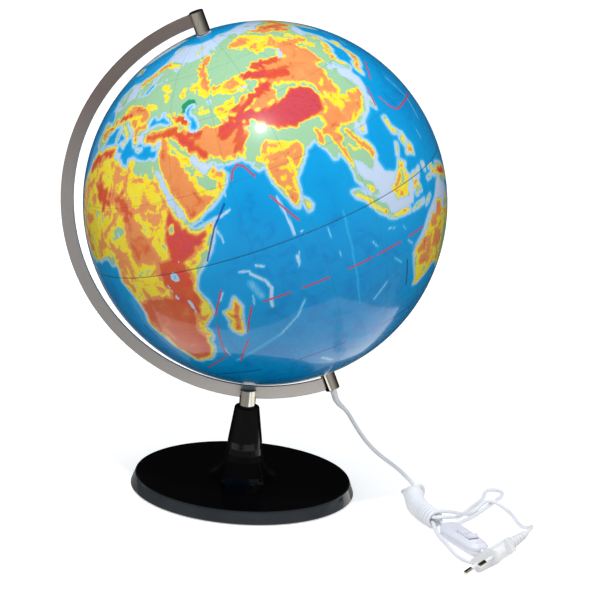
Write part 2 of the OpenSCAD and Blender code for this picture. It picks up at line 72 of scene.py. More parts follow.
def place_camera():
    """The camera on its target, turned about its own line of sight."""
    data = bpy.data.cameras.new("camera")
    data.lens = LENS
    data.sensor_width = 36
    camera = add_object("camera", data)
    back = Vector((0, -math.cos(CAMERA_HEIGHT_ANGLE), math.sin(CAMERA_HEIGHT_ANGLE)))
    right = (-back).cross(Vector((0, 0, 1))).normalized()
    up = right.cross(-back)
    turned_right = right * math.cos(CAMERA_ROLL) + up * math.sin(CAMERA_ROLL)
    turned_up = up * math.cos(CAMERA_ROLL) - right * math.sin(CAMERA_ROLL)
    turn = Matrix((turned_right, turned_up, back)).transposed().to_4x4()
    camera.matrix_world = Matrix.Translation(CAMERA_TARGET + back * CAMERA_DISTANCE) @ turn
    bpy.context.scene.camera = camera


place_camera()

# ---- The lead: one cord from the lower sleeve to the plug, points in millimetres
CORD_D = 3.6
CORD_EXIT = (75.2, 6, 96.9)
LEAD = [
    CORD_EXIT, (77, 6, 92.3), (78.6, 6, 87.5), (81.6, 6.2, 83.4), (85.8, 6.6, 79.8), (90.4, 7, 74.8),
    (94.6, 7, 68.6), (99, 7.2, 62), (103.6, 7.4, 55.6), (109.6, 7.6, 48.2), (117, 7.8, 41),
    (125.6, 8.2, 34.2), (134.6, 8.4, 28), (141.4, 8, 23), (147.6, 6, 18), (152.4, 2.4, 14.2)]
BUNDLE = [
    (153.3, -4), (153.8, -14), (154.4, -25), (155.6, -36), (158.2, -46.5), (162, -56.5),
    (166.6, -66), (172, -75)]
LOOP = [
    (172.4, -79, 12.5), (176.2, -80.1, 13.4), (180, -79, 13.4), (182.6, -76.2, 12.4),
    (185, -70.4, 10.6), (187.8, -62.8, 7.8), (190.8, -54, 4.8), (194.8, -43, 2.6), (200.2, -30, 2),
    (205.8, -17, 2), (211.2, -4.6, 2), (216, 8, 2), (218.6, 18.6, 2), (220.2, 28.4, 2),
    (224.8, 35, 2), (231.6, 35.2, 2), (235.2, 29, 2), (233.8, 19, 2), (229.2, 8, 2),
    (223.4, -5, 2), (217.4, -18, 2), (211.4, -31, 2), (205, -45, 2.8), (198.8, -57, 3.8),
    (193.2, -67, 4.4), (188.4, -74, 4.6), (183, -76.9, 4.9), (177.8, -76.5, 5.5)]
LOWER_RUN = [
    (171.4, -83, 5), (173.6, -92, 3.2), (176.4, -101.8, 2.1), (180.2, -112.4, 2),
    (183.6, -123.6, 2), (186.8, -134.6, 2), (190.8, -145, 2), (196.8, -153.6, 2), (205, -158, 2),
    (213, -156.6, 2.6), (217, -151.4, 4.4), (215, -146, 5.8), (211, -139.7, 6.2)]
THROUGH_SWITCH = [
    (202.9, -124.7, 5.4), (198.5, -116.6, 4.8), (193.8, -108, 5), (190, -101, 6.1)]
LINK = [(181.4, -85.2, 6.2), (179, -81.2, 7.8), (176.5, -77.6, 10)]
TAIL = [
    (177.4, -70.8, 15.8), (182.8, -66.8, 14.6), (188.6, -61.4, 12.2), (194.4, -54, 8.8),
    (199.6, -45, 5.2), (204.8, -34.6, 2.7), (209.6, -24.6, 2.8), (215.2, -15, 5.2),
    (222.6, -8.4, 6.5), (230.6, -9.8, 4.4), (237, -16.6, 2.4), (241, -26, 2), (243.8, -36.8, 2),
    (246, -48.6, 2.2), (248, -60.6, 3.6), (250.2, -72.8, 6.6), (252.2, -84.8, 10.8),
    (253.6, -97, 16), (254, -108.8, 20.6), (253, -120, 23.6), (250.4, -130, 24.4),
    (247.2, -137.2, 23.9)]
BUNDLE_Z = 9.15
BUNDLE_START_Y = -6
HEADING_REACH = 4
STRAND_GAP = 2.5
STRAND_STEPS = 8
# Distances along the bundle at which its straight runs start or end, short of its mouth
FIRST_RUN = 3
FOLD_RUN = 5
LAST_RUN = 15
WRAP_RADIUS = 7.2
WRAP_PITCH = 4.12
WRAP_FROM = 9
WRAP_POINTS = 16
# Turns at the bundle's tail and mouth: side, distance forward and height from the bundle's axis
FOLD_SIDE = [
    (3.6, -0.5, -STRAND_GAP), (5.8, -5, -3.6), (7.9, -9.6, -4.4), (7.8, -14.2, -4.9), (4.8, -18, -5)]
FOLD_END = (0, -19.4, -5)
TURN_OVER = [
    (2.5, 11, 2.6), (2.5, 8, 3.4), (2.9, 5, 5), (4.6, 1.4, 6.2), (7.4, -1.6, 4.8), (9.4, -3.2, 1.2),
    (9.2, -3.4, -3), (6.8, -2.4, -6.2), (2.8, -0.8, -7.2), (-1.6, 1.2, -7.1), (-5.6, 3.1, -4.7),
    (-WRAP_RADIUS, 5, -0.2), (-5.3, 7, 4.9)]


def bundle_frame(forward):
    """Point, right and forward directions of the bundle's axis at a distance along it, and its length."""
    axis = np.array(BUNDLE, float)
    steps = np.diff(axis, axis=0)
    lengths = np.hypot(steps[:, 0], steps[:, 1])
    along = np.concatenate(([0], np.cumsum(lengths))) - abs(BUNDLE_START_Y - axis[0, 1])

    def place(run):
        return np.array([np.interp(run, along, axis[:, i]) for i in (0, 1)])

    at = np.clip(forward, along[0], along[-1])
    ahead, behind = min(at + HEADING_REACH, along[-1]), max(at - HEADING_REACH, along[0])
    heading = place(ahead) - place(behind)
    heading /= np.hypot(*heading)
    middle = place(at) + heading * (forward - at)
    return middle, np.array([-heading[1], heading[0]]), heading, along[-1]


def in_bundle(side, forward, height):
    """A point beside the bundle's axis: side and height are measured from the axis."""
    middle, right, _, _ = bundle_frame(forward)
    x, y = middle + right * side
    return (x, y, BUNDLE_Z + height)


def strand(side, height, start, stop):
    """A straight run inside the bundle, from one distance along it to another."""
    return [
        in_bundle(side, start + (stop - start) * i / STRAND_STEPS, height) for i in range(STRAND_STEPS + 1)]


def wraps():
    """The turns of the lead's own end round the bundle, from its tail to its mouth."""
    length = bundle_frame(0)[3]
    turns = round((length - WRAP_FROM) / WRAP_PITCH)
    pitch = (length - WRAP_FROM) / turns
    made = []
    for i in range(turns * WRAP_POINTS + 1):
        angle = 2 * math.pi * i / WRAP_POINTS
        made.append(in_bundle(
            WRAP_RADIUS * math.sin(angle), WRAP_FROM + pitch * i / WRAP_POINTS,
            WRAP_RADIUS * math.cos(angle)))
    return made


def cord_points():
    """The whole route of the cord, from the sleeve to the plug."""
    gap = STRAND_GAP
    mouth = bundle_frame(0)[3]
    other_side = [(-side, forward, height) for side, forward, height in reversed(FOLD_SIDE)]
    back_fold = [in_bundle(*point) for point in FOLD_SIDE + [FOLD_END] + other_side]
    turn_over = [in_bundle(*point) for point in TURN_OVER]
    return (
        LEAD + strand(-gap, gap, FIRST_RUN, mouth) + LOOP + strand(gap, -gap, mouth, FOLD_RUN)
        + back_fold + strand(-gap, -gap, FOLD_RUN, mouth) + LOWER_RUN + THROUGH_SWITCH + LINK
        + strand(gap, gap, mouth, LAST_RUN) + turn_over + wraps() + TAIL)


def whole_mesh(curve):
    """The mesh that a curve object makes, as it is now."""
    bpy.context.view_layer.update()
    return bpy.data.meshes.new_from_object(
        curve.evaluated_get(bpy.context.evaluated_depsgraph_get()))


def make_cord():
    """The lead as a tube, and the points of its centre line."""
    points = cord_points()
    data = bpy.data.curves.new("cord_line", "CURVE")
    data.dimensions = "3D"
    data.resolution_u = 6
    data.use_fill_caps = True
    spline = data.splines.new("BEZIER")
    spline.bezier_points.add(len(points) - 1)
    for knot, point in zip(spline.bezier_points, points):
        knot.co = [value * MM for value in point]
        knot.handle_left_type = knot.handle_right_type = "AUTO"
    line = add_object("cord_line", data)
    path = [tuple(vertex.co) for vertex in whole_mesh(line).vertices]
    data.bevel_depth = CORD_D / 2 * MM
    data.bevel_resolution = 4
    cord = add_object("cord", whole_mesh(line))
    bpy.data.objects.remove(line)
    for face in cord.data.polygons:
        face.use_smooth = True
    cord.data.materials.clear()
    return cord, path


cord, cord_path = make_cord()
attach(cord, "root")
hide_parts("cord_lead", "cord_hank", "cord_loop", "cord_lower_run", "cord_link", "cord_tail")

# ---- World map, drawn in degrees of longitude and latitude
# Heights of the ground and depths of the sea run from 0 to 1
PLAIN = 0.14
# Lands: height of the ground away from the areas and ranges below, outline
LANDS = {
    "africa": (0.43, [
        (-5.9, 35.8), (-2, 35.1), (1, 36.5), (5, 36.8), (10, 37.3), (11, 36.8), (10.2, 34.3), (11, 33.2),
        (15.2, 32.3), (16, 31.2), (19, 30.3), (20.1, 31), (20, 32.5), (22.5, 32.8), (25, 31.6), (29, 30.9),
        (31, 31.5), (32.5, 31.2), (32.6, 29.9), (33.5, 27.9), (35.6, 24), (37.2, 21), (37.3, 19),
        (38.6, 18), (39.8, 15.4), (41.2, 14.6), (43.1, 12.7), (43.3, 11.5), (45, 10.5), (48, 11.2),
        (51.2, 11.9), (51.1, 10.4), (50, 8), (48, 4.5), (45.5, 2), (42.6, -0.5), (41, -2), (39.6, -4.5),
        (38.8, -6.5), (39.5, -9), (40.6, -11), (40.6, -15), (37, -17.8), (34.8, -19.9), (35.5, -22),
        (35.4, -24), (32.7, -26), (32.8, -28), (31, -30.5), (28, -33), (25.7, -34), (22, -34.1),
        (20, -34.8), (18.4, -34.1), (18.2, -32), (16.5, -28.6), (15, -26.5), (14.4, -22.8), (12, -18),
        (11.8, -16), (13.5, -12.5), (13.2, -9), (12.2, -6), (11, -3.8), (9, -1), (9.5, 1), (9.7, 3.5),
        (8.9, 4.4), (6, 4.3), (4.5, 6.3), (2, 6.3), (-2, 4.8), (-4, 5.2), (-7.5, 4.4), (-11.4, 6.8),
        (-13.2, 8.6), (-15, 11), (-16.7, 12.5), (-17.4, 14.7), (-16.2, 19), (-17, 21), (-16, 23.7),
        (-14.5, 26.2), (-10, 29.5), (-9.7, 31.5), (-6.8, 34)]),
    "eurasia": (PLAIN, [
        (32.6, 29.9), (33.2, 28.5), (34.2, 27.8), (34.9, 29.5), (35.2, 28.1), (37.2, 25), (38.5, 23),
        (39.1, 21.3), (41, 18.8), (42.5, 16.5), (42.8, 14.5), (43.4, 12.7), (45, 12.8), (47.5, 13.6),
        (50, 15), (52.2, 15.7), (54.5, 17), (56, 18), (57.7, 19.5), (58.7, 20.6), (59.8, 22.4),
        (58.6, 23.7), (56.8, 24.3), (56.4, 26.3), (54, 24.2), (51.6, 24.1), (51.5, 25.9), (50.8, 25),
        (50, 26.6), (48.6, 28.2), (48, 30), (50.3, 30), (51.3, 28.2), (52.6, 27.4), (54.8, 26.6),
        (56.5, 27.1), (57.2, 25.9), (58.8, 25.5), (61.6, 25.1), (64.5, 25.3), (66.6, 25.2), (67.3, 24.2),
        (68.8, 23.4), (70.3, 22.8), (69, 22.3), (70.3, 20.9), (72, 21.2), (72.7, 22.2), (72.8, 19),
        (73.3, 16.5), (74.5, 14), (75.8, 11.3), (76.6, 8.8), (77.5, 8.1), (78.2, 8.9), (79.3, 10.3),
        (79.9, 12.5), (80.2, 14.5), (80.9, 15.8), (82.3, 16.7), (84.5, 18.8), (86.5, 20.2), (87, 21.5),
        (88.8, 21.7), (90.5, 22.4), (91.8, 22.3), (92.5, 20.7), (94, 18.8), (94.5, 16), (95.5, 15.8),
        (97, 17), (97.7, 15.5), (98.6, 13), (98.6, 10), (98.3, 8), (99.8, 6.5), (100.4, 4.8), (101.4, 2.8),
        (103.5, 1.4), (104.2, 1.4), (103.4, 3.5), (103.1, 5.5), (101.5, 6.8), (100.4, 8), (99.3, 9.4),
        (99.9, 11.8), (100.3, 13.4), (101, 12.7), (102.5, 12), (103.5, 10.7), (105, 8.7), (106.6, 9.5),
        (107, 10.4), (109, 11.5), (109.3, 13.5), (108.3, 15.8), (107, 17), (105.8, 18.8), (106.6, 20.3),
        (108.2, 21.6), (109.7, 21.5), (109.9, 20.4), (110.6, 21.3), (113.5, 22.2), (116.5, 23),
        (118.5, 24.6), (119.8, 26), (121.5, 28.3), (122, 30), (121, 30.5), (121.9, 31.5), (120.8, 33),
        (119.3, 35), (120.5, 36.2), (122.5, 37), (120.8, 37.8), (119, 37.4), (117.8, 39), (119.5, 39.8),
        (121.5, 40.8), (121.3, 39), (123.5, 39.7), (124.8, 39.7), (125.2, 38), (126.6, 37), (126.4, 34.6),
        (129.2, 35.2), (129.3, 37), (127.5, 39.3), (129.7, 41), (131, 42.6), (134, 43.2), (137.5, 46),
        (140.3, 48.5), (140.5, 51.5), (141, 53.2), (137.5, 54), (135.3, 54.8), (138.5, 57), (143, 59.2),
        (149, 59.6), (155, 59.4), (157, 61.5), (160, 61.8), (163.5, 62.5), (162.5, 60.5), (159.8, 59.5),
        (155.8, 56.8), (155.6, 54), (156.7, 51), (158.5, 53), (160, 55), (162.5, 56), (163.2, 58),
        (166, 60), (170, 60), (174.5, 61.8), (179.5, 62.3), (177, 64.7), (182.5, 64.3), (187, 64.3),
        (190, 66), (186, 67), (180, 69), (176, 69.8), (170, 70), (161, 69.5), (152, 71), (140, 72.5),
        (137, 71.5), (130, 71), (127, 73.5), (120, 73), (113.5, 73.7), (107, 73.2), (111, 74.5), (113, 76),
        (104.5, 77.7), (98, 76), (87, 75), (81, 73.5), (80.5, 72), (75, 72.6), (73.5, 69), (72.5, 71),
        (69, 73), (66.8, 71), (68, 68.5), (60.5, 69.8), (60, 68.6), (54, 68.5), (47, 67), (44, 68.5),
        (43.5, 66.5), (40, 65), (37.5, 64), (35, 64.5), (33, 66.7), (40.5, 66.5), (41, 67.7), (36, 69.2),
        (31, 70.4), (25.7, 71), (19, 70), (14.5, 68), (12, 65), (10, 63.8), (5.2, 62), (5, 60), (6, 58.2),
        (8, 58.1), (10.5, 59.3), (11.5, 58.5), (12.8, 55.6), (14.3, 55.5), (16.2, 56.5), (17, 58.8),
        (18.8, 60), (17.3, 61.5), (18, 62.8), (21.5, 64.8), (22.3, 65.8), (25.3, 65), (22, 63), (21.4, 61),
        (23, 60), (28, 60.5), (30, 60), (28, 59.5), (23.5, 59.3), (24.3, 57.8), (22, 57.6), (21, 56),
        (19.8, 54.4), (18.5, 54.8), (14.2, 53.9), (11, 54), (10.2, 56), (10.5, 57.6), (8.3, 57),
        (8.5, 54.2), (4.8, 53), (3.5, 51.4), (1.6, 50.5), (0, 49.5), (-1.5, 48.7), (-4.7, 48.5), (-2.2, 47),
        (-1.2, 45.5), (-1.7, 43.4), (-8, 43.8), (-9.2, 43), (-8.8, 41), (-9.4, 38.7), (-8.9, 37),
        (-5.6, 36), (-2.1, 36.8), (-0.2, 38.7), (0.2, 40.5), (3.2, 42), (4, 43.5), (7.5, 43.8), (9, 44.4),
        (10.3, 43.2), (12.3, 41.7), (15.3, 40), (16, 38), (17, 39), (16.6, 40.2), (18.5, 40), (16, 41.8),
        (13.6, 43.6), (12.3, 45.3), (13.7, 45.5), (15, 44), (19, 42), (19.5, 40.5), (21, 38.2),
        (21.7, 36.8), (23, 36.5), (23.7, 38), (22.8, 39.6), (24, 40.3), (26, 40.8), (28.9, 41.1),
        (28, 42.5), (28.7, 44), (30.5, 46.2), (33, 46), (32.5, 45.4), (33.5, 44.5), (35.5, 45.1),
        (35, 46.3), (38, 47), (37.5, 45), (39.5, 43.6), (41.6, 42), (41, 41), (38, 41), (35, 42),
        (32, 41.6), (29.2, 41.1), (26.5, 40), (26.9, 38.5), (27, 37.5), (28.3, 36.7), (30.6, 36.8),
        (32.5, 36.1), (34.5, 36.7), (36, 36.8), (35.8, 35), (35, 33), (34.3, 31.4), (32.5, 31.2)]),
    "madagascar": (0.36, [
        (49.3, -12), (50.4, -15.5), (49.6, -17), (47.8, -22), (47, -25), (45.2, -25.6), (43.7, -23.5),
        (43.5, -21.5), (44.4, -20), (44.2, -16.3), (46.5, -15.6), (48, -13.6)]),
    "sri_lanka": (0.3, [(79.9, 9.7), (81, 8.7), (81.8, 7.2), (81.1, 6.2), (80.2, 6), (79.8, 7.5)]),
    "sumatra": (PLAIN, [
        (95.3, 5.6), (97.5, 5.2), (100.3, 2.6), (103.3, 0.6), (103.6, -1), (106, -3), (105.8, -5.8),
        (104.5, -5.8), (102.2, -3.9), (100.3, -1), (98.7, 1.7), (96.3, 3.5)]),
    "java": (0.4, [
        (105.2, -6.7), (106.8, -6), (108.6, -6.7), (111, -6.5), (112.7, -7), (114.4, -7.8), (114.4, -8.7),
        (111, -8.3), (108.5, -7.8), (106.4, -7.4)]),
    "borneo": (0.36, [
        (109, 1.6), (111.2, 2), (113, 3.2), (115.4, 5.3), (116.8, 7), (119.2, 5.2), (117.8, 4.2),
        (118, 2.2), (119, 1), (117.6, 0.4), (117.5, -0.8), (116.3, -2), (116, -4), (114.5, -4),
        (112.5, -3.3), (110.2, -2.9), (110, -1.3), (109, 0.3)]),
    "sulawesi": (0.42, [
        (119.8, 0.7), (120.9, 1.3), (123, 0.9), (125, 1.6), (124.3, 0.5), (120.3, 0.4), (120, -1),
        (121.3, -0.9), (123.3, -0.8), (121.7, -1.9), (122.4, -3.4), (122.5, -5.2), (121.5, -4.5),
        (120.9, -2.8), (120.4, -3.2), (120.4, -5.5), (119.5, -5.4), (119.6, -3.5), (118.9, -2.8),
        (119.3, -1.2)]),
    "new_guinea": (PLAIN, [
        (131, -0.8), (134, -0.9), (134.9, -3.2), (137.8, -1.6), (141, -2.6), (144.5, -3.9), (147.5, -6),
        (147.2, -7.3), (150.8, -10.4), (147, -9.4), (144.5, -7.7), (142.5, -9.2), (139, -8), (138, -5.5),
        (135, -4.4), (133, -4), (132, -2.8), (133.5, -2.3)]),
    "timor": (0.4, [(123.6, -10.2), (125, -8.9), (127.2, -8.4), (125.5, -9.7)]),
    "flores": (0.42, [(116, -8.9), (118.5, -8.2), (122.8, -8.2), (122.5, -8.9), (119, -9)]),
    "seram": (0.42, [(128, -3.2), (130.8, -3), (130.6, -3.7), (128.2, -3.6)]),
    "halmahera": (0.4, [(127.5, 1.8), (128.7, 1.4), (128.2, -0.6), (127.6, 0.4)]),
    "luzon": (0.4, [
        (120.4, 16), (120.6, 18.5), (122.2, 18.4), (121.6, 15.8), (124, 13), (121.6, 13.7), (120.5, 14.3)]),
    "visayas": (0.4, [(122.4, 11.6), (125, 12.4), (125.2, 10.3), (123, 9.4)]),
    "mindanao": (0.42, [(122, 7.2), (123.4, 8.6), (125.4, 9.7), (126.4, 8), (125.5, 5.8), (124, 6.6)]),
    "palawan": (0.36, [(117.2, 8.4), (119.3, 11.2), (119.8, 11), (117.7, 8.3)]),
    "taiwan": (0.5, [(120.2, 23), (121.1, 25.1), (121.9, 25), (121.3, 23), (120.8, 22)]),
    "hainan": (0.36, [(108.7, 19.2), (110, 20), (111, 19.8), (110, 18.4), (108.8, 18.6)]),
    "honshu": (0.38, [
        (130, 33), (131, 34.2), (132.8, 35.5), (135.8, 35.6), (137, 37.2), (139, 38.5), (140, 40.5),
        (141.4, 41.4), (141.9, 39.5), (140.9, 37), (140.8, 35.7), (138.6, 34.7), (135.7, 33.5),
        (132.9, 33.2), (131.4, 31.5), (130.2, 31.2)]),
    "hokkaido": (0.36, [(140, 42), (141.7, 45.4), (145.3, 44.1), (145.4, 43.2), (143.2, 42), (141, 41.8)]),
    "sakhalin": (0.36, [(142, 46), (143.5, 49), (143.2, 52), (142.6, 54.3), (142, 53), (142, 50)]),
    "britain": (PLAIN, [
        (-5.5, 50.1), (-3, 50.6), (1.2, 51), (1.7, 52.7), (0, 53.4), (-1.6, 55.5), (-2, 57.5), (-4, 57.7),
        (-3.1, 58.6), (-5, 58.5), (-6.2, 56.8), (-4.9, 54.8), (-3, 54), (-4.5, 53.2), (-5.2, 51.8),
        (-3.1, 51.4)]),
    "ireland": (PLAIN, [(-6.3, 52.2), (-10, 51.8), (-9.8, 54.2), (-8, 55.2), (-5.7, 54.7)]),
    "iceland": (0.5, [(-22.5, 63.9), (-18.8, 63.4), (-14, 64.8), (-15, 66.3), (-20, 66), (-24, 65.7)]),
    "sicily": (0.4, [(12.5, 38), (15.6, 38.2), (15.1, 36.7)]),
    "sardinia": (0.4, [(8.4, 39), (8.3, 40.9), (9.3, 42.9), (9.6, 40.5), (9.4, 39.2)]),
    "cyprus": (0.4, [(32.4, 34.8), (33, 35.3), (34.5, 35.6), (33.8, 34.9)]),
    "crete": (0.4, [(23.6, 35.5), (26.2, 35.2), (24.8, 34.9)]),
    "novaya_zemlya": (0.4, [
        (52, 71), (54.5, 73.5), (60, 76), (68.5, 76.9), (62, 75.3), (57.5, 73), (56, 70.7)]),
    "svalbard": (0.4, [(12, 78.5), (15, 80), (22, 80.3), (20, 78), (16.7, 76.7)]),
    "severnaya_zemlya": (PLAIN, [(96, 79), (96, 81), (103, 79.5), (102, 78.2)]),
    "novosibirsk": (PLAIN, [(138, 75.7), (142, 76), (150, 75.2), (143, 73.5)]),
    "greenland": (PLAIN, [
        (-45, 60), (-42, 62.5), (-38, 65.7), (-26, 68.5), (-22, 70.5), (-20, 75), (-18, 80), (-33, 83.5),
        (-60, 82), (-68, 79.5), (-71, 78), (-61, 76), (-55, 72), (-53.5, 68), (-51.5, 63.5), (-48, 60.8)]),
    "north_america": (PLAIN, [
        (-168, 65.6), (-162, 66.5), (-166, 68.5), (-156.5, 71.3), (-141, 69.7), (-128, 70.3), (-115, 68.3),
        (-108, 68), (-95, 68), (-94, 71.5), (-90, 69), (-82, 69.5), (-85, 66.5), (-94, 61), (-94, 58.7),
        (-88, 56.7), (-82.3, 55.1), (-80, 51.3), (-78.8, 52.5), (-79.5, 54.7), (-76.6, 57.2), (-78.2, 62.4),
        (-70, 61), (-65, 58.8), (-61.5, 57), (-57, 53), (-60, 50.2), (-67, 50.2), (-71, 47), (-65, 49),
        (-64.5, 46.5), (-61, 45.5), (-66, 43.5), (-67, 44.8), (-70.5, 43.2), (-70.2, 41.8), (-74, 40.6),
        (-75.5, 37.5), (-75.7, 35.3), (-79, 33.3), (-81.4, 31), (-80.1, 26.5), (-81, 25.1), (-82.7, 28),
        (-84, 30), (-89.3, 30.2), (-89.5, 29.1), (-94, 29.6), (-97.3, 27.5), (-97.8, 22.5), (-95.8, 18.6),
        (-92, 18.6), (-90.4, 21), (-87, 21.5), (-88, 18.5), (-88.8, 16), (-84, 15.8), (-83.4, 13),
        (-83.7, 11), (-81.5, 8.9), (-79.5, 9.5), (-77.3, 8.5), (-78, 7.6), (-80.3, 7.4), (-83, 8.2),
        (-85.7, 10), (-88, 13), (-92.3, 14.5), (-96.5, 15.7), (-101.5, 17.7), (-105.5, 20.2), (-106, 22.8),
        (-109.3, 25.7), (-112.8, 30), (-114.7, 31.7), (-112.5, 28), (-109.5, 23), (-112, 25), (-115, 28.5),
        (-117.2, 32.7), (-120.6, 34.6), (-122.5, 37.7), (-124.4, 40.4), (-124, 46.2), (-124.7, 48.4),
        (-122.8, 49), (-127.8, 51.2), (-130.5, 54.5), (-134.5, 58), (-140, 59.8), (-148, 60.3),
        (-152, 59.3), (-151, 61), (-154, 58.8), (-158.5, 56), (-164.8, 54.6), (-160, 56.2), (-157.7, 58.6),
        (-162, 58.7), (-165.5, 61.5), (-161, 64.4), (-166.4, 64.5)]),
    "baffin": (0.38, [
        (-80, 73.5), (-72, 71), (-62, 66.8), (-65, 63), (-72, 64.5), (-73, 67.5), (-84, 70), (-88, 73.5)]),
    "ellesmere": (0.45, [(-90, 76.5), (-79, 76.5), (-64, 82), (-72, 83.2), (-90, 81.8)]),
    "victoria": (PLAIN, [(-117, 69.8), (-105, 69), (-105, 73), (-117, 73.2)]),
    "banks": (PLAIN, [(-125, 72), (-120, 71.5), (-117, 74.8), (-124, 74.3)]),
    "newfoundland": (PLAIN, [(-59.3, 47.7), (-53, 46.8), (-55.5, 51.5)]),
    "cuba": (PLAIN, [(-84.9, 21.9), (-81, 23.1), (-74.2, 20.2), (-77.6, 19.9)]),
    "hispaniola": (0.42, [(-74.4, 18.5), (-72.8, 19.9), (-68.4, 18.5), (-71.5, 17.7)]),
    "south_america": (PLAIN, [
        (-77.4, 8.3), (-75.5, 10.6), (-71.7, 12.3), (-71.3, 11), (-68, 10.6), (-62, 10.7), (-60, 8.5),
        (-52, 4.8), (-50, 1), (-48, -1), (-44.3, -2.7), (-40, -2.9), (-35.3, -5.3), (-35, -8.5),
        (-37.5, -11.5), (-39, -13.5), (-39.2, -18), (-41, -22), (-45, -23.8), (-48.5, -26), (-49, -28.8),
        (-52.3, -32.5), (-55, -34.9), (-58.3, -34), (-57.3, -36.5), (-62, -39), (-65, -41), (-63.7, -42.6),
        (-67.5, -46), (-65.8, -47.5), (-69, -51), (-68.4, -52.5), (-65.2, -54.7), (-69, -55.4),
        (-74.5, -52), (-75.5, -48), (-73, -42), (-73.5, -38), (-71.6, -33), (-71.4, -29), (-70.3, -24),
        (-70.3, -18.4), (-76, -14), (-79.8, -7.5), (-81.3, -5), (-80, -3), (-80.8, -1.5), (-80, 0.8),
        (-77.5, 3.8)]),
    "australia": (0.38, [
        (113.7, -22.5), (114, -26), (115, -30), (115.7, -32), (115, -34.3), (118, -35), (124, -33.3),
        (129, -31.6), (134, -32.5), (135.7, -34.9), (138, -33), (138.5, -35.5), (140.5, -38),
        (143.5, -38.8), (146.4, -39), (150, -37.3), (151.3, -33.5), (153.5, -28.5), (153, -25), (149, -21),
        (146, -19), (145.3, -15), (143.5, -14.2), (142.5, -10.8), (141.6, -14), (140.8, -17.5),
        (137.5, -16), (135.5, -15), (136.7, -12.2), (132, -11.3), (130.8, -12.5), (129.5, -15),
        (126.5, -14), (123.5, -17), (122.2, -18), (119, -20), (116, -20.8)]),
    "tasmania": (PLAIN, [(144.8, -40.8), (148.2, -40.9), (147.5, -43.4), (146, -43.4)]),
    "new_zealand_n": (0.4, [
        (172.8, -34.5), (175.5, -36.8), (178.4, -37.7), (176.8, -39.8), (175.3, -41.5), (173.9, -39.3),
        (174.7, -37)]),
    "new_zealand_s": (0.45, [
        (172.8, -40.6), (174.3, -41.7), (171, -45.5), (169, -46.6), (166.6, -45.8), (170, -43)]),
    "antarctica": (PLAIN, [
        (-181, -78), (-160, -77.5), (-150, -77), (-130, -74), (-100, -72.5), (-75, -73), (-67, -68),
        (-58, -63.5), (-60, -68), (-62, -74), (-50, -78), (-35, -78), (-25, -75), (-10, -71), (10, -70),
        (30, -69.5), (50, -66.5), (70, -69.5), (80, -67.5), (95, -66.5), (120, -66.5), (140, -66.5),
        (160, -70), (170, -72), (165, -78), (181, -78), (181, -91), (-181, -91)]),
}
ICE = ("greenland", "antarctica")
LAKES = {
    "caspian": [
        (46.8, 44.5), (49, 46.4), (51.5, 47), (53, 46.5), (53, 45.3), (51.2, 44.6), (50.8, 43), (52.5, 42),
        (53.8, 39.5), (53.9, 37), (51.5, 36.7), (49.5, 37.4), (48.9, 38.8), (49.5, 40.4), (48.2, 41.9),
        (47.5, 43.2)],
    "aral": [(58.5, 44.3), (58.5, 46), (60.5, 46.7), (61.6, 45.6), (60.3, 44)],
    "baikal": [(103.8, 51.5), (105.8, 51.6), (108.4, 53), (110, 55.6), (108.8, 55.6), (106.6, 53.4)],
    "balkhash": [(73.8, 45.4), (74, 46.6), (79, 46.9), (79, 46.3), (75.5, 46)],
    "ladoga": [(30.5, 60.2), (30.6, 61.6), (32.8, 61), (32.6, 60)],
    "victoria": [(31.6, -0.4), (33, 0.4), (34.2, -0.6), (33.8, -2.6), (32.2, -2.6)],
    "tanganyika": [(29.2, -3.4), (29.8, -3.6), (31.2, -8.6), (30.4, -8.4)],
    "malawi": [(33.9, -9.6), (34.6, -9.8), (35.3, -14.2), (34.5, -14)],
    "turkana": [(35.9, 4.5), (36.5, 4.3), (36.5, 2.6), (36, 2.6)],
    "chad": [(13.4, 13.7), (14.8, 13.7), (14.8, 12.6), (13.4, 12.6)],
    "superior": [(-92, 46.8), (-88, 48.8), (-84.7, 46.6), (-88, 46.8)],
    "michigan": [(-87.8, 42), (-86.2, 42), (-85.2, 45.5), (-87.5, 45.2)],
    "huron": [(-83.8, 45.8), (-80, 45.5), (-81.7, 43.2)],
    "winnipeg": [(-99, 53.8), (-97, 53.6), (-96.6, 50.6), (-98.2, 51.6)],
    "great_bear": [(-124, 66), (-119, 66.8), (-120.5, 65)],
    "great_slave": [(-116.5, 61), (-110, 62.8), (-112, 61.3)],
}
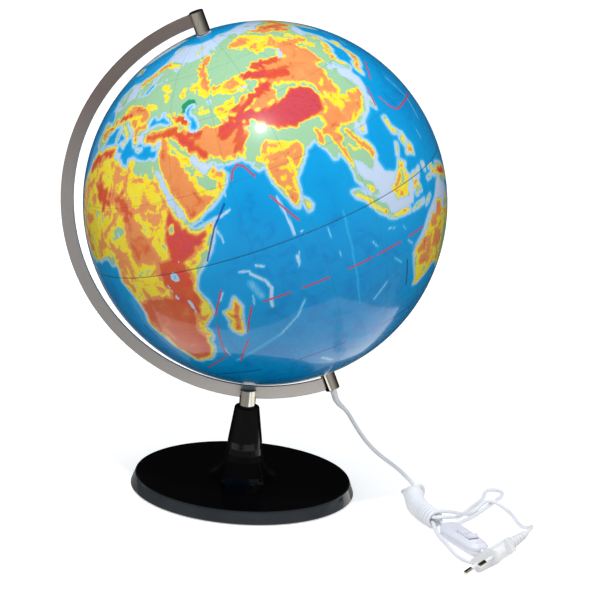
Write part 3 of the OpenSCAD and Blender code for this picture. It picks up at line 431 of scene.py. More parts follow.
# Areas of one height: height, width of the soft edge in degrees, outline
AREAS = [
    (0.66, 1.2, (18, 18), (22, 19), (25, 14), (28, 9), (30, 5), (25, 3.5), (19, 5), (18, 9)),
    (0.78, 1, (28.5, 4), (29, -8), (31, -13), (36, -14.5), (39, -9), (38.3, -3), (38.6, 2), (35, 4.5)),
    (0.36, 2, (17, 3), (24, 3), (27, 0), (24, -5), (19, -5), (15, -2)),
    (0.72, 1, (13.5, -9), (17, -7.5), (24, -7), (30, -9), (34, -12), (34, -16), (32, -19), (31.5, -24),
     (30, -29), (27, -32.5), (20, -33), (18, -30), (16, -25), (14, -17), (13.5, -13)),
    (0.9, 0.9, (34, 5), (34, 10), (35.8, 14.5), (37.6, 18), (39, 16.4), (40.4, 12), (43, 10.4),
     (48.6, 10.6), (48, 8.4), (43, 6), (41.5, 4), (38, 3), (35, 3)),
    (0.12, 1.2, (43, 1.5), (45.5, 5), (49.3, 8.8), (49.6, 7.2), (46, 2.6), (42.6, -0.8), (40.4, -3.6),
     (40.3, -1)),
    (0.12, 1, (36.5, -18.3), (34.3, -20.5), (34.2, -23.5), (32.6, -25.5), (32.2, -27.6), (32.8, -27.5),
     (35.5, -24), (35.6, -21)),
    (0.4, 1, (66, 50.5), (68, 46.5), (74, 45.5), (80, 46), (82.5, 49.5), (78, 52), (72, 51.5)),
    (0.36, 0.8, (62, 39.5), (66, 42.5), (71, 44.5), (71, 41), (66, 38)),
    (0.4, 0.8, (4, 45), (7, 49), (12, 51), (18, 50.5), (24, 49), (27, 47), (26, 44.5), (21, 42), (16, 45),
     (10, 46.5)),
    (0.38, 0.8, (35, 29.5), (39, 21), (43, 12.5), (46, 12.5), (52, 15), (56, 17.5), (60, 22), (57, 24.5),
     (51, 25.5), (48, 29.5), (45, 32), (41, 35), (38, 37), (36, 36)),
    (0.64, 0.8, (35, 29), (38, 24), (41.6, 18.6), (43.6, 13), (46, 13.5), (51, 15.5), (54.5, 17.8),
     (52, 18.6), (49, 18.8), (48, 22), (46.6, 26), (43.5, 29), (40, 32.5), (38.6, 36.6), (36, 36.4)),
    (0.12, 1, (49.5, 26), (51, 23.8), (54, 23.5), (56, 21.5), (55, 19.5), (52, 19.8), (50.5, 21.5),
     (49, 24)),
    (0.12, 1, (41, 35.5), (44.5, 32.3), (47.8, 30.2), (48.6, 31.5), (45, 34.3), (42.5, 36.3)),
    (0.66, 0.9, (28, 38), (30, 37.4), (36, 37.8), (41, 38), (44.5, 38), (44, 40.3), (38, 40.2), (31, 40.3),
     (28.5, 39.3)),
    (0.6, 0.9, (45, 38.5), (46.3, 35), (49.3, 32), (52.3, 28.9), (57, 27.5), (62, 26.4), (66.3, 26.6),
     (67.5, 29), (70, 33), (72, 36.5), (66, 36.3), (61, 36.6), (57, 37.6), (52, 36), (48.2, 38)),
    (0.12, 1.2, (67.8, 24.3), (70, 28.5), (74, 32.5), (75.5, 30.5), (72, 27), (70.3, 24.3)),
    (0.38, 1.2, (71, 23.5), (76.5, 27.5), (86, 24.3), (87, 22), (83, 18.6), (80.2, 14.5), (79, 10),
     (77.5, 8.6), (73.4, 17), (73, 21)),
    (0.11, 1, (75.5, 30.5), (81, 28), (88, 26.6), (89.8, 24.5), (89.4, 22), (86.5, 24.6), (80, 26.2),
     (76.5, 28)),
    (0.97, 1, (74, 37), (79, 36.2), (84, 36.6), (90, 37), (95, 39), (99.5, 38.6), (103, 36), (103.5, 32.5),
     (101.3, 28.8), (98, 28), (94, 28.4), (88, 28), (83, 29.3), (79, 31.3), (75.5, 34.3)),
    (0.57, 1.2, (88, 50), (92, 51.5), (99, 51.5), (106, 52), (113, 52.5), (120, 52), (121.5, 47.5),
     (119, 43), (114.5, 41), (111, 37), (106, 35), (104, 38), (98, 40.5), (92, 42.5), (88, 45.5)),
    (0.55, 0.8, (76, 39), (80, 41), (86, 42), (90, 41), (88, 38.5), (82, 37.3), (78, 37.5)),
    (0.36, 0.8, (82.5, 45.3), (86, 46.8), (89.5, 45), (87, 44), (83, 44.4)),
    (0.4, 1.8, (88, 69), (98, 73), (112, 71.5), (120, 66), (128, 61), (132, 58), (120, 56), (110, 57),
     (104, 59), (96, 58), (90, 62)),
    (0.58, 1.5, (104, 51.5), (108, 55), (112, 57.5), (120, 58), (128, 57), (136, 55), (131, 51.5),
     (124, 53), (118, 50.5)),
    (0.13, 1.2, (114.3, 38), (117.3, 38.8), (119.5, 34.5), (120.5, 31.3), (116.5, 31), (114, 34)),
    (0.46, 1.6, (104, 32), (112, 34), (116, 31), (120.6, 28.6), (118, 24.9), (113, 23.2), (108, 22.4),
     (104.5, 23), (100, 25)),
    (0.64, 1.2, (98.5, 28), (103, 28), (106.5, 27), (106, 24.5), (103, 22.8), (99.5, 22.5), (98, 25)),
    (0.12, 1, (115.5, 33), (120.5, 32), (120, 30.8), (114, 29.2), (112, 30.2)),
    (0.12, 1.2, (100, 15.5), (103.5, 15.5), (106.5, 12), (106.5, 10), (104.5, 10.6), (100.5, 13.4)),
    (0.36, 1, (101.8, 17.6), (104.4, 16.6), (105, 14.8), (102, 14.8)),
    (0.58, 0.9, (-6.5, 42.5), (-2, 42.3), (-1, 40), (-3, 38), (-6.5, 38.5)),
    (-0.1, 1, (46.3, 44.5), (46.8, 47.6), (50, 49.4), (53.4, 48), (53.8, 46), (52, 44.5)),
    (0.4, 2, (-118, 60), (-102, 52), (-97, 36), (-102, 30), (-106, 34), (-110, 48)),
    (0.62, 1.6, (-116, 48), (-109, 46), (-104, 38), (-105, 32), (-102, 22), (-99, 18), (-104, 22),
     (-109, 31), (-115, 36), (-119, 42)),
    (0.42, 2, (-56, -13), (-44, -9), (-41, -12), (-41, -20), (-49, -27), (-53, -22)),
    (0.42, 2.5, (116, -23), (122, -21), (128, -17), (133, -19), (132, -27), (124, -29), (118, -28)),
    (0.11, 2, (136, -30), (141, -33), (143, -24), (140, -19), (137, -25)),
]
# Ranges, and narrow lowlands: height, half width in degrees, line of the crest or valley
RANGES = [
    (0.78, 2.2, (4, 24.5), (7, 22.5)), (0.76, 2, (16, 21.5), (19, 19.5)), (0.6, 1.6, (22, 14), (24, 12)),
    (0.6, 1.3, (9, 10), (14, 7), (12.5, 4)), (0.58, 1, (11, 1), (13.5, -4)),
    (0.58, 1.2, (-10, 11), (-8, 8.5)), (0.56, 0.9, (34, 24), (36.3, 20)),
    (0.8, 1.2, (27, -31), (29.6, -28.6), (30.6, -24.5)), (0.8, 1, (29.8, 0.5), (29.4, -3)),
    (0.8, 1, (36, -1), (37.2, -3.2)), (0.7, 0.9, (20, -33.3), (26, -32.8)),
    (0.72, 1.3, (15, -12), (15.5, -15)), (0.8, 1.4, (-8, 30.8), (-4, 33), (3, 35.3), (8.5, 36)),
    (0.7, 1.2, (49, -14), (47.6, -18.8), (46.4, -23)), (0.7, 0.9, (42.6, 18), (44, 14.5), (46.5, 14.2)),
    (0.52, 0.8, (56.4, 24.8), (58.4, 23)), (0.8, 1, (31, 37.3), (36.5, 37.9), (43, 38.6), (45, 37)),
    (0.88, 1, (38.8, 44), (44, 42.8), (48, 41.3)), (0.84, 1.1, (46, 35.3), (50, 32), (54, 29)),
    (0.84, 0.7, (49.3, 36.8), (53, 36)), (0.9, 1.8, (63, 34.6), (67, 35), (72, 36.5)),
    (0.78, 1.2, (66.5, 27), (68, 30), (70, 33)), (0.6, 1, (73.8, 19.5), (75.3, 13.8), (77, 9.8)),
    (0.58, 0.6, (74.2, 20.6), (79.4, 20.2)), (0.58, 0.5, (75, 18.4), (78.6, 17.7)),
    (0.58, 0.7, (74.5, 22.6), (80, 22.4), (85, 23.2)), (0.6, 0.8, (82, 18.9), (84.5, 21.4)),
    (0.55, 0.5, (76.2, 15.4), (79, 15.9)), (0.52, 0.6, (73.2, 24.6), (75.8, 27)),
    (0.6, 0.5, (80.5, 7.2), (80.9, 6.8)), (0.88, 1.5, (70, 38.8), (74, 40), (80, 42), (87, 43.4)),
    (0.96, 1.4, (72.5, 37), (77, 35.5)), (0.86, 1.6, (83, 50.6), (88, 48.6), (93, 47.2), (99, 45.2)),
    (0.82, 1.3, (88, 53), (95, 52.6), (101, 51.7)), (0.72, 0.9, (98, 47.4), (102, 47.2)),
    (0.4, 1.9, (65, 49.5), (73, 48.8), (79, 50)), (0.54, 0.8, (72, 48.4), (75, 48.8)),
    (0.6, 1.3, (92, 69), (98, 67.4)), (0.56, 1.2, (97, 62), (103, 64)),
    (0.62, 1.7, (128, 71), (128.5, 67), (134, 64), (140, 62)), (0.66, 2, (135, 69.5), (143, 66), (152, 63)),
    (0.56, 1.6, (152, 63), (160, 66), (170, 67)), (0.64, 1, (158, 53.6), (160, 57), (163, 61)),
    (0.56, 1.2, (134, 44.8), (138.6, 50)), (0.46, 1.2, (127, 49.4), (131, 48.2)),
    (0.6, 1.4, (119, 43), (121.5, 50)), (0.56, 1, (127, 42), (129.5, 44)),
    (0.54, 0.8, (126.8, 40.6), (128.6, 37)), (0.62, 1, (106, 34), (111, 33.4)),
    (0.62, 1.1, (111, 35.4), (113.6, 39.6)), (0.56, 0.9, (110, 25.6), (115, 25.4)),
    (0.56, 0.9, (116, 27.5), (119, 28)), (0.58, 0.9, (104, 20.4), (106, 17.2), (107.8, 14.5), (108, 12.2)),
    (0.6, 0.9, (98.6, 20), (98.6, 15.5), (99.2, 12.4)), (0.6, 0.8, (94, 24.4), (94, 19.4)),
    (0.6, 1.6, (97.5, 22.5), (99.5, 20.5)), (0.42, 0.6, (101.3, 5.2), (102.3, 3.6)),
    (0.62, 0.7, (96, 4.7), (98.6, 1.6), (101, -1.6), (104, -4.8)),
    (0.56, 0.5, (106.8, -6.9), (113.4, -7.9)), (0.58, 0.7, (111.6, 1), (114.4, 2.4), (116.5, 5.6)),
    (0.6, 0.6, (120.2, -2), (120.4, -3.4)),
    (0.84, 1.1, (133.8, -3.4), (139, -4.2), (144, -6), (147.4, -8.4)),
    (0.6, 0.8, (132.4, 34.6), (138, 36), (140.4, 39.6)),
    (0.6, 1.3, (6.8, 60), (9, 62), (14, 65.5), (18, 68.2), (22, 69.4)),
    (0.84, 0.9, (6.8, 45), (8, 46.2), (13.4, 47)),
    (0.6, 0.8, (18.6, 49.2), (24, 48), (26, 46), (23.5, 45.4)),
    (0.62, 0.9, (15.4, 45), (19, 43), (21.5, 40.4), (22, 38.4)), (0.6, 0.7, (21, 42), (26, 42.6)),
    (0.56, 0.5, (9, 44.4), (13.3, 42.4), (16, 39.8)), (0.78, 0.5, (-1.2, 42.8), (2.4, 42.4)),
    (0.54, 0.8, (3, 44.6), (3, 45.6)), (0.4, 1, (9, 50), (15, 50)),
    (0.64, 1, (59.5, 52), (59, 57), (59.5, 62), (63, 66.4), (66, 68.2)), (0.4, 1.9, (59, 50.4), (58.5, 54)),
    (0.36, 1.3, (36.5, 51.6), (35, 55), (33, 57.4)), (0.36, 0.9, (46.4, 51), (47, 53.6)),
    (0.38, 1.2, (53.6, 54), (55.5, 54.4)), (0.36, 1, (25, 49.8), (29, 49)), (0.38, 1, (31, 68), (36, 67.4)),
    (0.34, 1.1, (55, 43.6), (57, 42)), (0.34, 1, (63, 42.4), (65, 41.6)),
    (0.84, 2.6, (-152, 62.6), (-140, 61), (-131, 57.6), (-123, 52.6), (-115.6, 48)),
    (0.84, 2, (-113, 46), (-107.5, 40), (-106, 35)), (0.66, 1.2, (-122, 48), (-119, 37.6)),
    (0.6, 2, (-158, 68), (-145, 68.6)), (0.56, 1.4, (-135, 66), (-126, 62)),
    (0.48, 1.1, (-84, 35), (-79, 39), (-74, 43.6), (-71, 45.6)), (0.42, 3, (-72, 53), (-66, 54)),
    (0.6, 0.8, (-91, 15.4), (-86, 13.4), (-83, 9.6)),
    (0.92, 1.5, (-73, 9), (-76, 3), (-78.6, -3), (-76.6, -9), (-72, -14)),
    (0.95, 2.4, (-70, -15.5), (-67.4, -20), (-68, -25)),
    (0.9, 1.2, (-69, -28), (-70.2, -34), (-71.6, -42), (-73, -50)),
    (0.46, 1.6, (-66, 4), (-60, 4.4), (-54, 3)), (0.6, 1.6, (-43.4, -21), (-46, -18)),
    (0.58, 1.1, (144.6, -37), (149, -34.6), (151.6, -29), (146.4, -20.6)),
    (0.62, 1.7, (129, -24), (133.6, -23.8)), (0.64, 1.2, (117, -22.8), (119.4, -22.2)),
    (0.64, 1.1, (125.6, -16.6), (128, -17.6)), (0.58, 1.2, (120, -27), (123, -25)),
    (0.58, 1, (132, -13.8), (134, -13.4)), (0.72, 0.8, (168, -45), (171.6, -42.8)),
    (0.1, 1.6, (26.5, 29.4), (29.6, 29.6)), (0.1, 0.8, (31.2, 30.6), (31.6, 27)),
    (0.1, 1, (13.6, 13.4), (15.4, 13.8)), (0.1, 1, (5, 5.2), (7.4, 5)),
    (0.1, 1.2, (-16, 14.4), (-14.6, 16)), (0.1, 1, (36.8, 12.4), (36.8, 12.5)),
    (0.12, 1.6, (123.6, 43), (125.4, 46)), (0.36, 1.3, (104.4, 30.6), (105.6, 30)),
    (0.12, 1.2, (132, 47.8), (135, 48.6)), (0.12, 1, (126, 60), (130, 63.6)),
    (0.14, 1.3, (93, 57.6), (94, 62)), (0.12, 1, (95.6, 17), (96, 21)),
]
# Shallow seas: depth, width of the soft edge in degrees, outline
SHELVES = [
    (0.02, 1, (98.5, 7), (101, 13.4), (108.6, 10.2), (109.6, 6.6), (113.6, 4.8), (118, 3), (119, -3),
     (117, -7), (106, -6), (103.6, -3)),
    (0.02, 1.2, (107, 21.6), (107.5, 18), (110.6, 18), (113, 20.6), (118, 22.6), (121.4, 25), (125, 28),
     (127, 31), (126, 35), (121, 41), (117, 38), (119, 33), (120, 27)),
    (0.02, 1, (113, -20.6), (118, -18), (124, -12.8), (130, -9.8), (134, -6), (138, -5), (142, -8),
     (142.4, -12), (137, -17), (128, -15), (122, -18.5)),
    (0, 0.5, (48, 30.4), (51.4, 29.6), (57, 27.4), (54, 23.6), (50, 24.4)),
    (0.04, 0.5, (32.4, 30), (35, 29.6), (44, 13), (42.8, 12), (37, 18)),
    (0.1, 1.5, (16, 69), (14, 77), (30, 81), (60, 80), (100, 81.5), (150, 79), (179, 74), (179, 69),
     (150, 70), (100, 72), (60, 66), (36, 65)),
    (0.1, 1.5, (-181, 74), (-160, 72.5), (-141, 70.5), (-160, 66), (-160, 58), (-181, 60)),
    (0.12, 1, (166, 59), (179, 61), (179, 67), (160, 69)),
    (0.06, 1.2, (-9, 48), (-11, 54), (-6, 60), (3, 61.5), (8, 58.5), (12, 58), (30, 61), (25, 66.5),
     (17, 60), (10, 54), (3, 51), (-2, 48.5)),
    (0.05, 1.2, (136, 54), (144, 55), (152, 58), (158, 60), (164, 63), (150, 60), (140, 59)),
    (0.08, 1.5, (-95, 60), (-79, 63), (-77, 54), (-82, 51), (-92, 56)),
    (0.04, 1.5, (-58, -36), (-57, -40), (-60, -50), (-57, -52), (-64, -55), (-69, -52), (-65, -44)),
    (0.06, 1.2, (-71, 41), (-60, 43), (-50, 44), (-51, 48), (-57, 51), (-66, 46)),
    (0.06, 1, (-98, 22), (-96, 28), (-84, 28.5), (-82, 25), (-86, 23), (-91, 19)),
    (0.05, 1.2, (152, -26), (150, -20), (146, -15), (143, -10), (150, -15), (154, -22)),
    (0.06, 0.8, (12, 45.6), (14.4, 44.6), (18.6, 41.6), (16.6, 41.6)),
    (0.06, 0.8, (10.6, 35.6), (15, 35), (14, 32.8), (11, 33.4)),
    (0.06, 0.7, (23.6, 37), (26.6, 37), (26, 40.4), (23.6, 40)),
]
# Banks and ridges of the sea floor: depth, half width in degrees, line
BANKS = [
    (0.05, 0.7, (72.5, 12.5), (73, 8.5), (73.5, 4), (73.5, 1)), (0.1, 0.5, (73, -4.5), (71.5, -9)),
    (0.06, 0.9, (72, -5.5), (72, -7.5)), (0.08, 0.7, (54, -4.5), (57, -5)),
    (0.06, 0.8, (59.5, -4), (61.5, -5)),
    (0.04, 0.9, (57, -6), (60.5, -9.5), (61.5, -12.5), (60, -16), (59.5, -18.5)),
    (0.3, 2.4, (56, -9), (57.5, -14)), (0.16, 0.6, (55, -13), (54.5, -16)),
    (0.1, 0.6, (44.5, -12), (46.5, -9.5)), (0.1, 0.6, (52, 9), (52.5, 5.5)),
    (0.08, 0.7, (52, 12.5), (54, 12.5), (57.5, 13.5)), (0.14, 0.5, (57.5, 19.5), (57.5, 17)),
    (0.12, 0.5, (75.5, 1), (76.5, 1.5)), (0.16, 0.4, (83.5, -0.5), (84, -4.5)),
    (0.18, 0.4, (85, -9.5), (85, -11)), (0.12, 0.5, (96.5, -11), (98, -13.5)),
    (0.34, 0.6, (90, 2), (89, -12), (88, -30)), (0.14, 0.5, (103.5, -10), (106, -10.5)),
    (0.14, 0.4, (109.5, -11.5), (111, -13.5)), (0.2, 0.7, (111, -17), (113, -19)),
    (0.16, 0.5, (104, -20), (107, -23)), (0.24, 0.8, (70, -20), (66, -25), (58, -30)),
    (0.3, 1, (58, -30), (46, -34), (36, -37)), (0.14, 1.1, (69, -49), (73, -53)),
    (0.22, 0.8, (100, -27), (94, -31)), (0.14, 0.5, (36, -30), (35.5, -34)),
    (0.24, 0.7, (142, 26), (144, 18), (141, 12)), (0.16, 0.4, (134, 12), (134.5, 7.5)),
    (0.2, 0.5, (148, 40), (156, 49)), (0.16, 0.7, (-30, 45), (-36, 30), (-46, 20)),
    (0.26, 1.2, (-20, 64), (-30, 55), (-32, 46)), (0.26, 1.2, (-45, 16), (-30, 1), (-14, -8)),
    (0.26, 1.2, (-14, -8), (-14, -30), (-10, -45)), (0.24, 1.4, (-105, 8), (-110, -20), (-114, -45)),
    (0.2, 0.6, (-155, 20), (-167, 24), (-178, 29)), (0.14, 0.6, (177, -17), (179, -18)),
    (0.2, 1, (168, -22), (166, -30), (168, -37)), (0.16, 0.5, (-150, -17), (-140, -18)),
]
# Printed strokes of sea currents, in whole degrees
CURRENTS = {
    "warm": [
        [(58, -16), (66, -16)], [(71, -16), (79, -16)], [(87, -16), (95, -16)], [(98, -16), (107, -16)],
        [(112, -16), (119, -16)], [(71, 13), (76, 5)], [(46, -9), (41, -16)], [(39, -21), (34, -34)],
        [(53, -17), (48, -25)], [(46, -29), (38, -37)], [(31, -35), (25, -37), (20, -39)],
        [(61, 21), (62, 23), (64, 24), (66, 23), (68, 20)], [(141, 33), (136, 31), (132, 29)],
        [(122, 23), (125, 27)], [(127, 23), (128, 20), (131, 18), (140, 18), (150, 18)],
        [(160, 12), (176, 12)], [(-176, 12), (-160, 12)], [(-150, 12), (-134, 12)],
        [(-79, 30), (-74, 36), (-64, 40)], [(-54, 42), (-40, 46), (-28, 50)], [(-30, 14), (-46, 15)],
        [(-10, -10), (-26, -8)], [(-34, -14), (-40, -26)], [(154, -22), (156, -32)],
        [(-120, -6), (-136, -6)], [(-146, -6), (-164, -6)]],
    "cold": [
        [(46, 2), (51, 10), (56, 15)], [(-80, -38), (-74, -22), (-80, -8)], [(12, -30), (8, -18)],
        [(-124, 42), (-120, 30)], [(-16, 32), (-20, 20)], [(20, -44), (40, -45)], [(60, -45), (80, -45)],
        [(100, -45), (120, -45)], [(-160, -48), (-140, -48)], [(-120, -50), (-100, -52)],
        [(-54, 60), (-50, 50)], [(110, -32), (110, -24)], [(160, 50), (150, 43)]],
}


# ---- Arithmetic of the map, in degrees
FAR = 9.0
AREA_MARGIN = 4
STROKE_MARGIN = 3
AREA_SPURS = 0.7
RANGE_SPURS = 0.6
LOWLAND = 0.3
ICE_EDGE = 0.6
GRID_STEP = 20
# Highest ground at the coast, what each degree inland adds to it, and what all ground gets on top
COAST_HEIGHT = 0.20
COAST_SLOPE = 0.36
LIFT = 0.02
# Depth at the coast, and the falls beyond it: how deep, from how far out, over how many degrees
COAST_DEPTH = 0.12
FALLS = [(0.44, 0.3, 1.3), (0.2, 3, 5)]


def wrapped(value, turn=360):
    """An angle brought to within half a turn of 0."""
    return (value + turn / 2) % turn - turn / 2


def to_line(lon, lat, line, closed=False):
    """Distance from points to a line, and the side of the nearest stretch that they are on."""
    narrow = np.cos(np.radians(lat))
    nearest = np.full(lon.shape, 999.0)
    side = np.full(lon.shape, 999.0)
    ends = line[1:] + line[:1] if closed else line[1:]
    for (lon_a, lat_a), (lon_b, lat_b) in zip(line, ends):
        ax = wrapped(lon_a - lon) * narrow
        ay = lat_a - lat
        dx, dy = (lon_b - lon_a) * narrow, lat_b - lat_a
        size = np.maximum(dx * dx + dy * dy, 1e-9)
        share = np.clip(-(ax * dx + ay * dy) / size, 0, 1)
        gap = np.hypot(ax + share * dx, ay + share * dy)
        closer = gap < nearest
        nearest = np.where(closer, gap, nearest)
        side = np.where(closer, (ax * dy - ay * dx) / np.sqrt(size), side)
    return nearest, side


def span(line, axis):
    """Lowest and highest value of a line along one axis."""
    return min(point[axis] for point in line), max(point[axis] for point in line)


def inside(lon, lat, outline):
    """Whether points lie inside a closed outline."""
    middle = sum(span(outline, 0)) / 2
    x = wrapped(lon - middle)
    found = np.zeros(lon.shape, bool)
    for (lon_a, lat_a), (lon_b, lat_b) in zip(outline, outline[1:] + outline[:1]):
        if lat_a == lat_b:
            continue
        crosses = (lat_a > lat) != (lat_b > lat)
        at = lon_a - middle + (lat - lat_a) / (lat_b - lat_a) * (lon_b - lon_a)
        found ^= crosses & (x < at)
    return found


def near(lon, lat, line, margin):
    """Which points lie within a margin of a line's own box."""
    west, east = span(line, 0)
    low, high = span(line, 1)
    narrow = np.cos(np.radians(lat))
    fits = np.abs(wrapped(lon - (west + east) / 2)) * narrow < (east - west) / 2 * narrow + margin
    return fits & (lat > low - margin) & (lat < high + margin)


def close_to(lon, lat, line, margin, closed=False):
    """Which points are near a line, with their distance to it and their side of it."""
    pick = near(lon, lat, line, margin)
    return pick, *to_line(lon[pick], lat[pick], line, closed)


def signed(lon, lat, outline, margin):
    """Distance to an outline, positive inside. Far points hold minus the margin."""
    result = np.full(lon.shape, -float(margin))
    pick, gap, _ = close_to(lon, lat, outline, margin, closed=True)
    within = inside(lon[pick], lat[pick], outline)
    result[pick] = np.where(within, np.minimum(gap, margin), -np.minimum(gap, margin))
    return result


def soft(value):
    """Smooth step from 0 to 1."""
    value = np.clip(value, 0, 1)
    return value * value * (3 - 2 * value)


def ripple(lon, lat):
    """A wandering wave from -1 to 1 that gives mountain edges their spurs and bays."""
    across = np.sin(0.8 * lon + 2.4 * np.sin(0.5 * lat + 0.2 * lon))
    along = np.cos(1.0 * lat + 2.6 * np.sin(0.35 * lon - 0.25 * lat))
    return 0.65 * across * along + 0.35 * np.sin(1.5 * lat - 0.6 * lon + 2.0 * across)


def draw_land(lon, lat):
    """Distance to the coast, height of the ground and amount of ice."""
    coast = np.full(lon.shape, -FAR)
    height = np.full(lon.shape, PLAIN)
    ice = np.zeros(lon.shape)
    for name, (ground, outline) in LANDS.items():
        land = signed(lon, lat, outline, FAR)
        coast = np.maximum(coast, land)
        height = np.where(land > 0, ground, height)
        if name in ICE:
            ice = np.maximum(ice, soft(land / ICE_EDGE + 0.5))
    spurs = ripple(lon, lat)
    for level, edge, *outline in AREAS:
        share = soft((signed(lon, lat, outline, AREA_MARGIN) + AREA_SPURS * spurs) / edge / 2 + 0.5)
        height += (level - height) * share
    for level, width, *line in RANGES:
        pick, gap, _ = close_to(lon, lat, line, width * 2)
        share = soft(1.3 - gap / width / 1.45 + RANGE_SPURS * spurs[pick])
        old = height[pick]
        new = old + (level - old) * share
        height[pick] = new if level < LOWLAND else np.maximum(old, new)
    height = np.minimum(height, COAST_HEIGHT + COAST_SLOPE * np.maximum(coast, 0)) + LIFT
    for outline in LAKES.values():
        coast = np.minimum(coast, -signed(lon, lat, outline, FAR))
    return coast, height, ice


def draw_sea(lon, lat, coast):
    """Depth of the sea: it falls away from the coast, less so over shelves and banks."""
    depth = np.full(lon.shape, COAST_DEPTH)
    for rise, start, run in FALLS:
        depth = depth + rise * soft((-coast - start) / run)
    for level, edge, *outline in SHELVES:
        share = soft(signed(lon, lat, outline, AREA_MARGIN) / edge / 2 + 0.5)
        depth += (np.minimum(depth, level) - depth) * share
    for level, width, *line in BANKS:
        pick, gap, _ = close_to(lon, lat, line, width * 3)
        depth[pick] = np.minimum(depth[pick], level + 0.6 * np.maximum(gap / width / 0.62 - 0.6, 0))
    return depth


def draw_currents(lon, lat, lines):
    """Distance to the nearest stroke, and the part of it that is square to the stroke."""
    reach = np.full(lon.shape, FAR)
    across = np.full(lon.shape, FAR)
    for line in lines:
        pick, gap, side = close_to(lon, lat, line, STROKE_MARGIN)
        closer = gap < reach[pick]
        reach[pick] = np.where(closer, gap, reach[pick])
        across[pick] = np.where(closer, side, across[pick])
    return reach, across


def draw_map(lon, lat):
    """Every printed layer of the map at the given points, as one number a point."""
    coast, height, ice = draw_land(lon, lat)
    layers = {
        "coast": coast, "height": height, "depth": draw_sea(lon, lat, coast), "ice": ice,
        "meridian": wrapped(lon, GRID_STEP) * np.cos(np.radians(lat)),
        "parallel": wrapped(lat, GRID_STEP), "equator": np.abs(lat)}
    for kind, lines in CURRENTS.items():
        layers[kind + "_reach"], layers[kind + "_across"] = draw_currents(lon, lat, lines)
    return layers


# ---- The ball: two printed half shells with real thickness
COLUMNS = 576
ROW_STEP = 0.625
SEAM_STEP = 0.1
INNER_ROWS = 8
BALL_WALL = 2 * MM
SEAM_CHAMFER = 0.25 * MM
NORTH_HOLE = 7 * MM
SOUTH_HOLE = 25 * MM
# Longitude that faces along the ball's own X axis, and the print's stretch in the north, in degrees
LON_OF_X = 152.1
PRINT_STRETCH = 4.2


def ball_point(lon, lat, radius):
    """A point of the ball in the frame, from map coordinates and its distance from the centre."""
    side = BALL_UP.cross(Vector((0, 1, 0))) * -1
    turn = np.radians(lon - LON_OF_X)
    level = np.radians(lat)
    basis = np.array([side, (0, 1, 0), BALL_UP])
    local = np.stack([np.cos(level) * np.cos(turn), np.cos(level) * np.sin(turn), np.sin(level)], -1)
    return np.array(BALL_CENTRE) + (local * np.asarray(radius)[..., None]) @ basis


def edge_of_hole(hole, radius):
    """Degrees from the equator to the edge of a hole round the pole."""
    return 90 - math.degrees(math.asin(hole / radius))


def shell_rows(hole):
    """Degrees from the equator and radius of each row, outer rows first, and how many of them are outer."""
    last = edge_of_hole(hole, BALL_RADIUS)
    outer = [(0, BALL_RADIUS - SEAM_CHAMFER), (SEAM_STEP, BALL_RADIUS)]
    outer += [(step * ROW_STEP, BALL_RADIUS) for step in range(1, int(last / ROW_STEP - 0.3) + 1)]
    outer.append((last, BALL_RADIUS))
    inner_radius = BALL_RADIUS - BALL_WALL
    last = edge_of_hole(hole, inner_radius)
    inner = [(last * (1 - i / INNER_ROWS), inner_radius) for i in range(INNER_ROWS + 1)]
    return outer + inner, len(outer)


def sharpen(mesh, edge_rows):
    """Keep the edges that run along the given rows sharp under smooth shading."""
    ends = np.zeros(len(mesh.edges) * 2, np.int32)
    mesh.edges.foreach_get("vertices", ends)
    first, second = ends.reshape(-1, 2).T // COLUMNS
    sharp = mesh.attributes.new("sharp_edge", "BOOLEAN", "EDGE")
    sharp.data.foreach_set("value", (first == second) & np.isin(first, edge_rows))


def print_map(mesh, lon, lat, printed):
    """Store the map's layers on a mesh whose first points are the printed ones."""
    lon, lat = lon[:printed], lat[:printed]
    stretched = np.where(lat > 0, lat - PRINT_STRETCH * np.sin(np.radians(2 * lat)) ** 2, lat)
    layers = draw_map(lon, stretched)
    layers["printed"] = np.ones(printed)
    for layer, values in layers.items():
        whole = np.zeros(len(mesh.vertices), np.float32)
        whole[:printed] = values
        mesh.attributes.new(layer, "FLOAT", "POINT").data.foreach_set("value", whole)


def half_shell(name, sign, hole):
    """One half of the ball, from the equator to the hole at its pole."""
    rows, outer = shell_rows(hole)
    lat = np.repeat([sign * row[0] for row in rows], COLUMNS)
    radius = np.repeat([row[1] for row in rows], COLUMNS)
    lon = np.tile(np.arange(COLUMNS) * 360 / COLUMNS, len(rows))
    here = np.arange(len(rows) * COLUMNS).reshape(len(rows), COLUMNS)
    above = np.roll(here, -1, axis=0)
    quads = np.stack([here, np.roll(here, -1, 1), np.roll(above, -1, 1), above], -1).reshape(-1, 4)
    if sign < 0:
        quads = quads[:, ::-1]
    mesh = bpy.data.meshes.new(name)
    mesh.from_pydata(ball_point(lon, lat, radius).tolist(), [], quads.tolist())
    mesh.update()
    mesh.polygons.foreach_set("use_smooth", np.ones(len(mesh.polygons), bool))
    sharpen(mesh, [0, outer - 1, outer, len(rows) - 1])
    print_map(mesh, lon, lat, outer * COLUMNS)
    made = add_object(name, mesh)
    mesh.materials.append(MATERIALS["map_skin"])
    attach(made, "globe")
    return made


# ---- Shader nodes
MATERIALS = {}
FINE_DEPTH = 0.02 * MM


def node(tree, kind, inputs=None, **settings):
    """A shader node with its settings, and its inputs linked or set."""
    made = tree.nodes.new("ShaderNode" + kind)
    for key, value in settings.items():
        setattr(made, key, value)
    for key, value in (inputs or {}).items():
        if isinstance(value, bpy.types.NodeSocket):
            tree.links.new(value, made.inputs[key])
        else:
            made.inputs[key].default_value = value
    return made


def calc(tree, operation, *values):
    """One step of arithmetic."""
    return node(tree, "Math", dict(enumerate(values)), operation=operation).outputs[0]


def times(tree, first, second):
    return calc(tree, "MULTIPLY", first, second)


